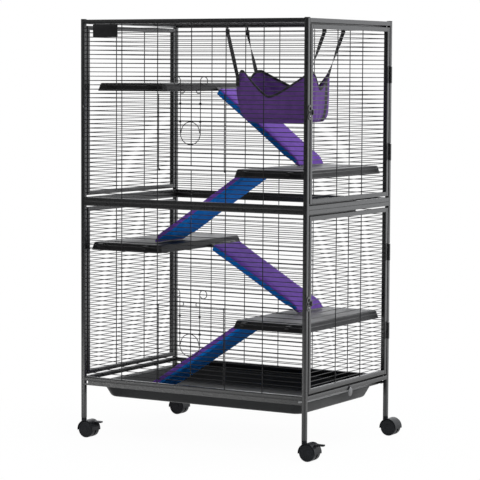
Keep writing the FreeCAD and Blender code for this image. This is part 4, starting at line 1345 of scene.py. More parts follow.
@dataclass
class Platform:
    """Inverted moulded tray that hooks over the wires of both long sides."""

    name: str
    x: Pair
    top: float
    edge: int
    ramp_y: float
    half_y: float = 0.240
    skirt: float = 0.023
    flare: float = 0.006
    corner: float = 0.014
    rim: float = 0.0035
    wall: float = 0.0025
    seat: float = 0.006
    hook_inset: float = 0.045
    hook: Triple = (0.012, 0.0018, 0.005)
    rod_out: float = 0.007
    rod_down: float = 0.014
    rod_r: float = 0.0025
    cradle: Triple = (0.045, 0.010, 0.0025)

    @property
    def rod(self) -> Pair:
        """Axis (x, z) of the ramp's rod."""
        x = self.x[1] + self.rod_out if self.edge > 0 else self.x[0] - self.rod_out
        return (x, self.top - self.rod_down)

    def shell(self) -> Object:
        """Mould the deck and its flared skirt.

        Returns:
            The shell, in object mode.
        """
        f = self.flare
        low = self.top - self.skirt
        obj = Bench.box((self.x[0] + f, self.x[1] - f), around(0, self.half_y - f), (low, self.top))
        length = self.x[1] - self.x[0]
        spread = (length / (length - 2 * f), self.half_y / (self.half_y - f), 1)
        with Bench.editing():
            Bench.ease(obj, Bench.along(Axis.Z), self.corner, 8)
            Bench.pick(obj, lambda co: co.z < low + NEAR)
            bpy.ops.transform.resize(value=spread, center_override=(sum(self.x) / 2, 0, low))
            Bench.pick_faces(obj, lambda at, normal: normal.z < -FACING)
            bpy.ops.mesh.delete(type="FACE")
            Bench.ease(obj, lambda a, b: min(a.z, b.z) > self.top - NEAR, self.rim, 4)
        Bench.thicken(obj, self.wall)
        return obj

    def hooks(self) -> list[Object]:
        """Four tabs that reach over a wire row and down behind it.

        Returns:
            The arms and lips of the tabs.
        """
        seat = self.top - self.seat + PLAN.row_wire / 2
        wide, plate, drop = self.hook
        start = self.half_y - self.flare - self.wall / 2 + self.flare * (self.top - seat) / self.skirt
        back = PLAN.post_y + PLAN.row_wire / 2 + PLAN.gap
        high = seat + plate
        parts = []
        for x in (self.x[0] + self.hook_inset, self.x[1] - self.hook_inset):
            for side in SIDES:
                for near, low in ((start, seat), (back, seat - PLAN.row_wire - drop)):
                    deep = (side * near, side * (back + plate))
                    parts.append(Bench.box(around(x, wide / 2), deep, (low, high), Ease.SMALL))
        return parts

    def cradles(self) -> list[Object]:
        """Two half-round cradles for the rod of the ramp.

        Returns:
            The cradles and their roots.
        """
        spread, wide, wall = self.cradle
        x, z = self.rod
        inner = self.rod_r + PIN_CLEAR
        outer = inner + wall
        root = x - self.edge * (self.rod_out + self.wall)
        parts = []
        for y in around(self.ramp_y, spread):
            parts.append(Bench.hoop(Axis.Y, (x, y, z), (inner, outer), wide, first=90, sweep=180, steps=16))
            parts.append(Bench.box((root, x), around(y, wide / 2), (z - outer, z - inner)))
        return parts

    def build(self) -> None:
        """Build and dress one platform."""
        parts = [self.shell()] + self.hooks() + self.cradles()
        Bench.done(self.name + "_moulding", parts, PLATFORM_PLASTIC, "cage", self.name, sharp=35)


class Padding:
    """Swells a closed form into a stuffed pad."""

    STRETCH = 25
    BENDING = 2.5
    FRAMES = 20

    @staticmethod
    def swell(obj: Object, voxel: float, pressure: float, cap: Callable[[Vector], float]) -> None:
        """Remesh a form, blow it up as cloth and keep the result.

        Args:
            obj: Closed form at the origin.
            voxel: Size of the remesh.
            pressure: Pressure inside the cloth.
            cap: Function of a place that gives the furthest that a point may move there.
        """
        Bench.only(obj)
        obj.data.remesh_voxel_size = voxel
        bpy.ops.object.voxel_remesh()
        rest = [v.co.copy() for v in obj.data.vertices]
        cloth = obj.modifiers.new("stuffing", "CLOTH")
        cloth.settings.use_pressure = True
        cloth.settings.uniform_pressure_force = pressure
        cloth.settings.effector_weights.gravity = 0
        cloth.settings.tension_stiffness = Padding.STRETCH
        cloth.settings.compression_stiffness = Padding.STRETCH
        cloth.settings.bending_stiffness = Padding.BENDING
        scene = bpy.context.scene
        for step in range(Padding.FRAMES):
            scene.frame_set(step + 1)
        bpy.ops.object.modifier_apply(modifier=cloth.name)
        for vert, start in zip(obj.data.vertices, rest):
            move = vert.co - start
            most = cap(start)
            if move.length > most:
                vert.co = start + move.normalized() * most
        scene.frame_set(1)


@dataclass
class Ramp:
    """Board with a rod at its head and a stuffed two-colour cover."""

    number: int
    rod: Pair
    y: float
    edge: int
    foot: Pair
    width: float = 0.155
    thick: float = 0.018
    start: float = 0.012
    board: float = 0.003
    board_inset: float = 0.006
    board_lap: float = 0.001
    rod_r: float = 0.0025
    notch: Triple = (0.045, 0.0053, 0.0054)
    voxel: float = 0.004
    pressure: float = 6.0
    puff: float = 0.0006
    crown: float = 0.0035
    side_ease: float = 0.003
    hem: float = 0.5
    fold: float = 0.010
    sole: float = 0.004
    sole_back: float = 0.050
    tip: float = 0.006
    tip_thick: float = 0.004

    NOSE = ((-0.022, 1.0), (-0.012, 0.80), (-0.004, 0.35), (0.001, -0.05))

    @property
    def body(self) -> str:
        """Body that the ramp moves with."""
        return "ramp_%d" % self.number

    @property
    def fall(self) -> Pair:
        """Run and drop from the rod to the foot."""
        return (abs(self.foot[0] - self.rod[0]), self.rod[1] - self.foot[1])

    @property
    def length(self) -> float:
        """Length from the rod to the foot."""
        run, drop = self.fall
        return math.sqrt(run * run + drop * drop - self.thick * self.thick / 4)

    @property
    def slope(self) -> float:
        """How steeply the ramp hangs."""
        run, drop = self.fall
        return math.atan2(drop, run) - math.atan2(self.thick / 2, self.length)

    def hang(self, obj: Object) -> None:
        """Put a piece that was made flat at the origin where the ramp is.

        Args:
            obj: Flat piece, its head at the origin.
        """
        turn = Matrix.Rotation(self.edge * self.slope, 4, "Y")
        if self.edge < 0:
            turn = turn @ Matrix.Rotation(math.pi, 4, "Z")
        obj.matrix_world = Matrix.Translation((self.rod[0], self.y, self.rod[1])) @ turn
        Bench.settle(obj)

    def plank(self) -> None:
        """Build the board, notched round the cradles, with its rod."""
        half = self.width / 2 - self.board_inset
        tall = around(0, self.board / 2)
        spread, wide, clear = self.notch
        parts = []
        for wood in ((-half, -spread - wide), around(0, spread - wide), (spread + wide, half)):
            parts.append(Bench.box((0, clear + self.board_lap), wood, tall, Ease.SMALL))
        ends = (clear, self.length - self.board_inset)
        parts.append(Bench.box(ends, around(0, half), tall, Ease.SMALL))
        parts.append(Bench.round_bar(Axis.Y, around(0, half), (0, 0), self.rod_r, 20, Ease.SMALL))
        name = self.body + "_plank"
        obj = Bench.join(name, parts)
        self.hang(obj)
        Bench.done(name, [obj], BOARD_PAINT, self.body, self.body + "_board")

    def nose(self, deep: float) -> list[Triple]:
        """Sections (x, low, high) of the low end, rounded over and flat where it stands.

        Args:
            deep: Half the thickness of the pad.

        Returns:
            Sections from the last full one to the tip.
        """
        end = self.length - self.puff
        stand = self.tip * math.tan(self.slope) - deep
        sections = [(end - self.sole_back, -deep - self.sole, deep)]
        sections += [(end + x, -deep, share * deep) for x, share in self.NOSE]
        sections.append((end + self.tip, stand, stand + self.tip_thick))
        return sections

    def slack(self, at: Vector) -> float:
        """How far the stuffing may push the cover out: most at mid-length, least at the ends."""
        share = (at.x - self.start) / (self.length - self.start)
        return self.puff + self.crown * max(0.0, math.sin(math.pi * share))

    def form(self, half: float, deep: float) -> Object:
        """Closed form of the cover before it is stuffed.

        Args:
            half: Half its width.
            deep: Half its thickness.

        Returns:
            The form, flat at the origin.
        """
        sections = self.nose(deep)
        obj = Bench.box((self.start + self.puff, sections[0][0]), around(0, half), (sections[0][1], deep))
        with Bench.editing():
            Bench.pick_faces(obj, lambda at, normal: normal.x > FACING)
            for (x, low, high), (next_x, next_low, next_high) in zip(sections, sections[1:]):
                middle = (next_low + next_high) / 2
                step = (next_x - x, 0, middle - (low + high) / 2)
                bpy.ops.mesh.extrude_region_move(TRANSFORM_OT_translate={"value": step})
                bpy.ops.transform.resize(value=(1, 1, (next_high - next_low) / (high - low)),
                                         center_override=(next_x, 0, middle))
            Bench.ease(obj, lambda a, b: max(abs(abs(v.y) - half) for v in (a, b)) < SAME, self.side_ease, 2)
        return obj

    def cover(self) -> None:
        """Stuff and colour the cover."""
        half = self.width / 2 - self.puff
        deep = self.thick / 2 - self.puff
        obj = self.form(half, deep)
        Padding.swell(obj, self.voxel, self.pressure, self.slack)
        Bench.only(obj)
        more = obj.modifiers.new("softer", "SUBSURF")
        more.levels = 1
        more.render_levels = 1
        bpy.ops.object.modifier_apply(modifier=more.name)
        for finish in (PURPLE_FLEECE, BLUE_FLEECE):
            obj.data.materials.append(finish.material())
        for face in obj.data.polygons:
            folded = face.center.x > self.length - self.fold
            seam = -self.hem * deep * face.center.y / half
            face.material_index = 0 if folded or face.center.z > seam else 1
        self.hang(obj)
        Bench.done(self.body + "_pad", [obj], PURPLE_FLEECE, self.body, self.body + "_cover", sharp=60)

    def build(self) -> None:
        """Build and dress one ramp."""
        self.plank()
        self.cover()


@dataclass
class Tray:
    """Pan with sloping walls under the cage, hung by its flange."""

    top: float = 0.1611
    depth: float = 0.039
    pan_x: Pair = (-0.340, 0.355)
    pan_y: float = 0.225
    flange_x: Pair = (-0.370, 0.372)
    flange_y: float = 0.249
    taper: float = 0.018
    corner: float = 0.030
    foot_round: float = 0.006
    wall: float = 0.0022

    def build(self) -> None:
        """Mould the pan from a block, draw out its flange and dress it."""
        low = self.top - self.depth
        obj = Bench.box(self.pan_x, around(0, self.pan_y), (low, self.top))
        middle = sum(self.pan_x) / 2
        length = self.pan_x[1] - self.pan_x[0]
        wide = 2 * self.pan_y
        draft = ((length - 2 * self.taper) / length, (wide - 2 * self.taper) / wide, 1)
        flange = ((self.flange_x[1] - self.flange_x[0]) / length, self.flange_y / self.pan_y, 1)
        with Bench.editing():
            Bench.ease(obj, Bench.along(Axis.Z), self.corner, 8)
            Bench.pick(obj, lambda co: co.z < low + NEAR)
            bpy.ops.transform.resize(value=draft, center_override=(middle, 0, low))
            Bench.ease(obj, lambda a, b: max(a.z, b.z) < low + NEAR, self.foot_round, 4)
            Bench.pick_faces(obj, lambda at, normal: normal.z > FACING and at.z > self.top - NEAR)
            bpy.ops.mesh.delete(type="FACE")
            Bench.pick_edges(obj, lambda a, b: min(a.z, b.z) > self.top - NEAR)
            bpy.ops.mesh.extrude_edges_move()
            bpy.ops.transform.resize(value=flange, center_override=(middle, 0, self.top))
            bpy.ops.transform.translate(value=(sum(self.flange_x) / 2 - middle, 0, 0))
            Bench.tidy_normals()
        Bench.thicken(obj, self.wall)
        Bench.done("tray_moulding", [obj], TRAY_PLASTIC, "tray", "tray", sharp=35)


@dataclass
class Hammock:
    """Cloth pouch that hangs from four roof bars by straps and rings."""

    centre: Pair = (0.1905, -0.040)
    size: Pair = (0.243, 0.108)
    low: float = 0.955
    high: float = 1.103
    cloth: float = 0.0014
    front_dip: float = 0.074
    back_dip: float = 0.066
    end_dip: float = 0.051
    corner: float = 0.018
    bulge: float = 0.003
    left_reach: float = 0.012
    left_belly: float = 0.007
    right_lean: float = 0.008
    sag: float = 0.007
    front_lowest: float = -0.21
    back_lowest: float = 0.40
    notch: float = -0.24
    floor_inset: float = 0.008
    round_share: float = 0.16
    lap_from: float = 0.022
    bars: Pair = (0.02482, 0.34748)
    ring_z: float = 1.23975
    ring_r: float = 0.006
    ring_wire: float = 0.0009
    strap: Triple = (0.012, 0.0016, 0.026)
    strap_inset: float = 0.006
    strap_pull: float = 0.025
    hook: float = 0.020
    hook_half: float = 0.003
    hook_lap: float = 0.004
    hook_share: float = 0.45
    hook_r: float = 0.0028
    twists: int = 12
    round_steps: int = 8
    straight_steps: int = 24
    rise_steps: int = 18

    SIDE_PEAKS = (-0.86, 0.93)
    END_PEAKS = (-0.93, 0.93)
    DIP_ROUND = 0.25
    FLOOR_SHARES = (0.25, 0.5, 0.75)
    END_SEAM = (0.85, 0.43, 0.16)
    CORNER_SEAM = (-0.9, -0.87, 0.035)
    LEFT_RISE = 1.6
    FOLD = 0.0011
    WAVE = 0.0008
    CREASE = 0.0042
    CREASE_WIDTH = 0.05
    TAPE = ((0.0008, 0.0065), (0.0011, 0.003), (0.0009, -0.0004), (-0.0007, -0.0010), (-0.0023, -0.0004),
            (-0.0025, 0.003), (-0.0022, 0.0065))

    def outline(self, grow: float) -> list[tuple[Vector, Vector]]:
        """Points and outward directions round the pouch.

        Args:
            grow: How far the outline stands out beyond the mouth.

        Returns:
            Pairs of a point at height zero and the way out there.
        """
        a = self.size[0] / 2 + grow
        b = self.size[1] / 2 + grow
        r = self.corner
        middle = Vector((*self.centre, 0))
        ring = []
        corners = [Vector((x * (a - r), y * (b - r), 0)) for x, y in ((1, 1), (-1, 1), (-1, -1), (1, -1))]
        for quarter, corner in enumerate(corners):
            for k in range(self.round_steps):
                way = self.way(quarter + k / self.round_steps)
                ring.append((middle + corner + way * r, way))
            step = corners[(quarter + 1) % 4] - corner
            way = self.way(quarter + 1)
            for k in range(self.straight_steps):
                ring.append((corner + step * (k / self.straight_steps) + way * r + middle, way))
        return ring

    @staticmethod
    def way(quarters: float) -> Vector:
        """Direction after some quarter turns from X."""
        turn = math.pi / 2 * quarters
        return Vector((math.cos(turn), math.sin(turn), 0))

    def shares(self, at: Vector) -> Pair:
        """Place within the mouth, from -1 to 1 along and across."""
        return ((at.x - self.centre[0]) / (self.size[0] / 2), (at.y - self.centre[1]) / (self.size[1] / 2))

    def fall(self, along: float, lowest: float, peaks: Pair) -> float:
        """Share of a dip at a place on the lip: straight slopes that meet in a round bottom.

        Args:
            along: Place along the lip, from -1 to 1.
            lowest: Place where the lip hangs lowest.
            peaks: Where the two peaks begin.

        Returns:
            One at the lowest place, nothing at the peaks.
        """
        t = min(1.0, (along - lowest) / (peaks[1 if along > lowest else 0] - lowest))
        return 1 - t * t * (1 + self.DIP_ROUND) / (t + self.DIP_ROUND)

    def lip(self, at: Vector) -> float:
        """Height of the hanging edge over a point of the outline.

        Args:
            at: Point of the outline.

        Returns:
            The height.
        """
        u, v = self.shares(at)
        dip, lowest = (self.front_dip, self.front_lowest) if v < 0 else (self.back_dip, self.back_lowest)
        side = dip * self.fall(u, lowest, self.SIDE_PEAKS)
        return self.high - max(side, self.end_dip * self.fall(v, self.notch, self.END_PEAKS))

    def bottom(self, at: Vector) -> float:
        """Height of the sagging floor under a point of the outline."""
        return self.low - self.sag * max(0.0, 1 - self.shares(at)[0] ** 2)

    def surface(self, index: int, count: int, share: float) -> Vector:
        """Point of the wall at a share of the way from the floor to the lip.

        Args:
            index: Place round the outline.
            count: Number of places round the outline.
            share: 0 at the floor, 1 at the lip.

        Returns:
            The point with the belly and the folds of the hanging cloth.
        """
        base = self.outline(0.0)[index][0]
        low = self.bottom(base)
        z = low + share * (self.lip(base) - low)
        real = max(0.0, (z - self.low) / (self.high - self.low))
        most = min(1.0, real)
        point, way = self.outline(self.grow(real))[index]
        at = point + way * self.wrinkle(2 * math.pi * index / count, real, base)
        u = self.shares(base)[0]
        out = self.left_reach * min(1.0, self.LEFT_RISE * real) + self.left_belly * math.sin(math.pi * most)
        at.x -= out * max(0.0, -u) ** 2
        at.x -= self.right_lean * (1 - most) * max(0.0, u) ** 2
        at.z = z
        return at

    def grow(self, share: float) -> float:
        """How far the wall stands out at a share of its height."""
        belly = math.sin(math.pi * share) * self.bulge
        return belly - self.floor_inset * max(0.0, 1 - share / self.round_share) ** 2

    def wrinkle(self, turn: float, share: float, base: Vector) -> float:
        """Small fold of the cloth at a place on the wall.

        Args:
            turn: Angle of the place round the pouch.
            share: Share of the wall's height.
            base: Point of the outline under it.

        Returns:
            How far the fold stands out.
        """
        folds = math.sin(17 * turn + 3 * share) * self.FOLD * math.exp(-share * 4)
        u, v = self.shares(base)
        pull = abs(u) - 0.9 + 0.75 * (1 - share)
        crease = self.CREASE * math.exp(-(pull / self.CREASE_WIDTH) ** 2) * share if abs(v) > 0.95 else 0.0
        return folds + crease + math.sin(5 * turn + 7 * share) * self.WAVE

    def sheet_of(self, name: str, rows: list[list[Vector]], closed: bool) -> Object:
        """Make a mesh of rings of points, each ring joined to the next.

        Args:
            name: Name of the new object.
            rows: Rings of points, all of one length.
            closed: Whether the last ring joins the first.

        Returns:
            The object, its first ring capped unless the rings close.
        """
        mesh = bmesh.new()
        rings = [[mesh.verts.new(at) for at in row] for row in rows]
        pairs = list(zip(rings, rings[1:]))
        if closed:
            pairs.append((rings[-1], rings[0]))
        for near, far in pairs:
            for index in range(len(near)):
                after = (index + 1) % len(near)
                mesh.faces.new((near[index], near[after], far[after], far[index]))
        if not closed:
            mesh.faces.new(list(reversed(rings[0])))
        bmesh.ops.recalc_face_normals(mesh, faces=mesh.faces)
        data = bpy.data.meshes.new(name)
        mesh.to_mesh(data)
        mesh.free()
        obj = bpy.data.objects.new(name, data)
        bpy.context.scene.collection.objects.link(obj)
        return obj

    def pouch(self) -> Object:
        """Loft the wall and the floor of the pouch as one sheet, with its dark seams.

        Returns:
            The pouch.
        """
        count = len(self.outline(0.0))
        walls = [[self.surface(index, count, step / self.rise_steps) for index in range(count)]
                 for step in range(self.rise_steps + 1)]
        middle = Vector((*self.centre, self.low - self.sag))
        floor = [[middle + (at - middle) * share for at in walls[0]] for share in self.FLOOR_SHARES]
        obj = self.sheet_of("pouch", floor + walls, False)
        obj.data.materials.append(POUCH_CLOTH.material())
        obj.data.materials.append(WEBBING.material())
        for face in obj.data.polygons:
            u, v = self.shares(face.center)
            end, across, wide = self.END_SEAM
            at_end = u > end and abs(v - across) < wide
            end, across, wide = self.CORNER_SEAM
            at_corner = u < end and abs(v - across) < wide and face.center.z > self.low
            face.material_index = 1 if at_end or at_corner else 0
        Bench.thicken(obj, self.cloth)
        return obj

    def binding(self) -> Object:
        """Tape folded over the whole mouth of the pouch.

        Returns:
            The tape.
        """
        outline = self.outline(0.0)
        rows = []
        for index, (_, way) in enumerate(outline):
            at = self.surface(index, len(outline), 1.0)
            rows.append([at + way * out - Vector((0, 0, down)) for out, down in self.TAPE])
        return self.sheet_of("pouch_binding", rows, True)

    def strap_y(self, side: int) -> float:
        """Middle of a strap that laps the outside of the pouch."""
        share = 1 - (self.lap_from + self.strap[2]) / (self.high - self.low)
        return self.centre[1] + side * (self.size[1] / 2 + self.grow(share) + PLAN.gap + self.strap[1] / 2)

    def straps(self) -> list[Object]:
        """Four flat straps, half twisted between the peaks and the rings, each with a snap hook.

        Returns:
            The straps and their hooks.
        """
        wide, thick, lap = self.strap
        peak = self.high - self.lap_from
        top = self.ring_z - self.ring_r - self.hook
        parts = []
        for end, bar in zip(SIDES, self.bars):
            foot = self.centre[0] + end * (self.size[0] / 2 - self.lap_from + self.strap_inset)
            foot -= self.strap_pull if end < 0 else 0.0
            step = Vector(((bar - foot) / self.twists, 0, (top - peak) / self.twists))
            for side in SIDES:
                y = self.strap_y(side)
                tall = (peak - lap, peak)
                obj = Bench.box(around(foot, wide / 2), around(y, thick / 2), tall, Ease.FINE, 1)
                turn = math.pi if end > 0 else (-math.pi if side > 0 else -math.pi / 3)
                twist = turn / self.twists
                with Bench.editing():
                    Bench.pick_faces(obj, lambda at, normal: normal.z > FACING)
                    for k in range(self.twists):
                        bpy.ops.mesh.extrude_region_move(TRANSFORM_OT_translate={"value": step})
                        at = Vector((foot, y, peak)) + step * (k + 1)
                        bpy.ops.transform.rotate(value=twist, orient_axis="Z", center_override=at)
                parts.append(obj)
                tall = (top - self.hook_lap, top + self.hook * self.hook_share)
                parts.append(Bench.box(around(bar, wide / 2), around(y, self.hook_half), tall, Ease.FULL))
                ends = (top, top + self.hook)
                parts.append(Bench.round_bar(Axis.Z, ends, (bar, y), self.hook_r, 12, Ease.SOFT))
        return parts

    def rings(self) -> list[Object]:
        """Four wire rings round the roof bars.

        Returns:
            The rings.
        """
        parts = []
        for bar in self.bars:
            for side in SIDES:
                Bench.clear()
                at = (bar, self.strap_y(side), self.ring_z)
                bpy.ops.mesh.primitive_torus_add(location=at, rotation=(math.pi / 2, 0, 0), major_segments=28,
                                                 minor_segments=8, major_radius=self.ring_r,
                                                 minor_radius=self.ring_wire)
                Bench.settle(bpy.context.object)
                parts.append(bpy.context.object)
        return parts

    def build(self) -> None:
        """Build and dress the hammock."""
        pouch = Bench.done("pouch", [self.pouch()], POUCH_CLOTH, "cage", "hammock", sharp=60)
        binding = Bench.done("pouch_binding", [self.binding()], WEBBING, "cage", sharp=60)
        Bench.done("pouch_straps", self.straps(), WEBBING, "cage", "hammock_straps")
        Bench.done("pouch_rings", self.rings(), SCREW_BLACK, "cage", "hammock_clips", sharp=60)


@dataclass
class Caster:
    """Twin-wheel caster: hood, boss and stem, two wheels and at the front a brake pedal."""

    name: str
    x: float
    y: float
    braked: bool
    wheel_r: float = 0.025
    inner: float = 0.0036
    outer: float = 0.020
    tread: float = 0.003
    trail: float = 0.0175
    hood_r: float = 0.0275
    hood_wall: float = 0.0015
    hood_half: float = 0.021
    hood_drop: float = 0.003
    web: float = 0.003
    web_hole: float = 0.006
    web_inset: float = 0.0005
    hub_r: float = 0.008
    axle_r: float = 0.003
    boss_r: float = 0.008
    boss_rise: float = 0.012
    stem_r: float = 0.004
    stem_rise: float = 0.020
    lap: float = 0.001
    ear: Triple = (0.006, 0.003, 0.002)
    pin_r: float = 0.0015
    pedal_out: float = 0.031
    pedal_half: float = 0.008
    pedal_length: float = 0.025
    pedal_low: float = 0.0008
    pedal_high: float = 0.0036
    pedal_round: float = 0.004
    barrel_r: float = 0.003
    grips: int = 3
    grip_at: Pair = (0.010, 0.0045)
    grip: Triple = (0.0018, 0.002, 0.0028)
    grip_high: float = 0.0037

    FLAT = 0.99
    DISH = ((0.0028, 0.0), (0.0008, -0.0012), (0.008, 0.0), (0.0012, 0.0009))

    @property
    def body(self) -> str:
        """Body of the fork."""
        return "caster_" + self.name

    @property
    def axle(self) -> Pair:
        """Axis (x, z) of the wheels."""
        return (self.x + self.trail, self.wheel_r)

    @property
    def pedal_axis(self) -> Pair:
        """Axis (x, z) of the brake pedal."""
        reach = self.pedal_out * math.cos(math.pi / 4)
        return (self.axle[0] + reach, self.axle[1] + reach)

    def fork(self) -> None:
        """Build the hood, its web, boss, stem and axle."""
        drop = math.degrees(math.asin(self.hood_drop / self.hood_r))
        first = -90 - drop
        sweep = 180 + 2 * drop
        centre = (self.axle[0], self.y, self.wheel_r)
        parts = []
        for radii, half in (((self.hood_r - self.hood_wall, self.hood_r), self.hood_half),
                            ((self.web_hole, self.hood_r - self.web_inset), self.web)):
            parts.append(Bench.hoop(Axis.Y, centre, radii, 2 * half, first, sweep, 36))
        parts.append(Bench.round_bar(Axis.Y, around(self.y, self.web), self.axle, self.hub_r, 24))
        parts.append(Bench.round_bar(Axis.Y, around(self.y, self.outer), self.axle, self.axle_r, 16))
        top = PLAN.leg_bottom - PLAN.gap
        at = (self.x, self.y)
        ends = (self.wheel_r + self.boss_rise, top)
        parts.append(Bench.round_bar(Axis.Z, ends, at, self.boss_r, 28, Ease.FULL))
        parts.append(Bench.round_bar(Axis.Z, (top - self.lap, top + self.stem_rise), at, self.stem_r, 16))
        if self.braked:
            parts += self.ears()
        Bench.done(self.body + "_housing", parts, CASTER_PLASTIC, self.body, self.body + "_fork", sharp=35)

    def ears(self) -> list[Object]:
        """Two ears on the hood and the pin of the pedal.

        Returns:
            The ears and the pin.
        """
        px, pz = self.pedal_axis
        near = self.pedal_half + PLAN.gap
        back, front, wall = self.ear
        lean = Matrix.Translation((px, 0, pz)) @ Matrix.Rotation(math.radians(-45), 4, "Y")
        parts = []
        for s in SIDES:
            deep = (self.y + s * near, self.y + s * (near + wall))
            ear = Bench.box((px - back, px + front), deep, around(pz, front), Ease.PLAIN)
            ear.matrix_world = lean @ Matrix.Translation((-px, 0, -pz))
            Bench.settle(ear)
            parts.append(ear)
        parts.append(Bench.round_bar(Axis.Y, around(self.y, near + self.lap), (px, pz), self.pin_r, 14))
        return parts

    def wheels(self) -> None:
        """Build the two wheels with rounded treads and dished faces."""
        parts = []
        for side in SIDES:
            ends = sorted((self.y + side * self.inner, self.y + side * self.outer))
            obj = Bench.round_bar(Axis.Y, ends, self.axle, self.wheel_r, 48)
            face = self.y + side * self.outer
            with Bench.editing():
                Bench.ease(obj, lambda a, b: max(abs(a.y - face), abs(b.y - face)) < SAME, self.tread, 5)
                Bench.pick_faces(obj, lambda at, normal: normal.y * side > self.FLAT)
                for thickness, depth in self.DISH:
                    bpy.ops.mesh.inset(thickness=thickness, depth=depth)
            parts.append(obj)
        name = self.body + "_wheel"
        Bench.done(name + "_pair", parts, WHEEL_PLASTIC, "wheels_" + self.name, name + "s", sharp=35)

    def pedal(self) -> None:
        """Build the brake pedal."""
        px, pz = self.pedal_axis
        deep = around(self.y, self.pedal_half)
        plate = Bench.box((px, px + self.pedal_length), deep, (pz - self.pedal_low, pz + self.pedal_high))
        with Bench.editing():
            upright = Bench.along(Axis.Z)
            Bench.ease(plate, lambda a, b: upright(a, b) and a.x > px + self.grip_at[0], self.pedal_round, 4)
            bpy.ops.mesh.select_all(action="SELECT")
            bpy.ops.mesh.bevel(offset=Ease.SMALL, segments=2, affect="EDGES")
        radii = (self.pin_r + PIN_CLEAR, self.barrel_r)
        parts = [plate, Bench.hoop(Axis.Y, (px, self.y, pz), radii, 2 * self.pedal_half)]
        wide, inset, low = self.grip
        for k in range(self.grips):
            x = px + self.grip_at[0] + self.grip_at[1] * k
            rib = around(self.y, self.pedal_half - inset)
            parts.append(Bench.box((x, x + wide), rib, (pz + low, pz + self.grip_high), Ease.FINE))
        name = self.body + "_pedal"
        Bench.done(name, parts, CASTER_PLASTIC, "brake_" + self.name, self.body + "_brake", sharp=35)

    def build(self) -> None:
        """Build and dress one caster."""
        self.fork()
        self.wheels()
        if self.braked:
            self.pedal()


@dataclass
class BarePlate:
    """Blank plate that lies on the front wires under the top rail."""

    x: Pair = (-0.344, -0.257)
    z: Pair = (1.198, 1.236)
    thick: float = 0.0016
    corner: float = 0.003

    RIM = ((0.0016, 0.0), (0.0005, -0.0004))

    def build(self) -> None:
        """Build and dress the plate."""
        back = -PLAN.post_y - PLAN.row_wire / 2
        obj = Bench.box(self.x, (back - self.thick, back), self.z)
        with Bench.editing():
            Bench.ease(obj, Bench.along(Axis.Y), self.corner, 4)
            Bench.pick_faces(obj, lambda at, normal: normal.y < -FACING)
            for thickness, depth in self.RIM:
                bpy.ops.mesh.inset(thickness=thickness, depth=depth)
        Bench.done("blank_plate", [obj], CAP_PLASTIC, "cage")


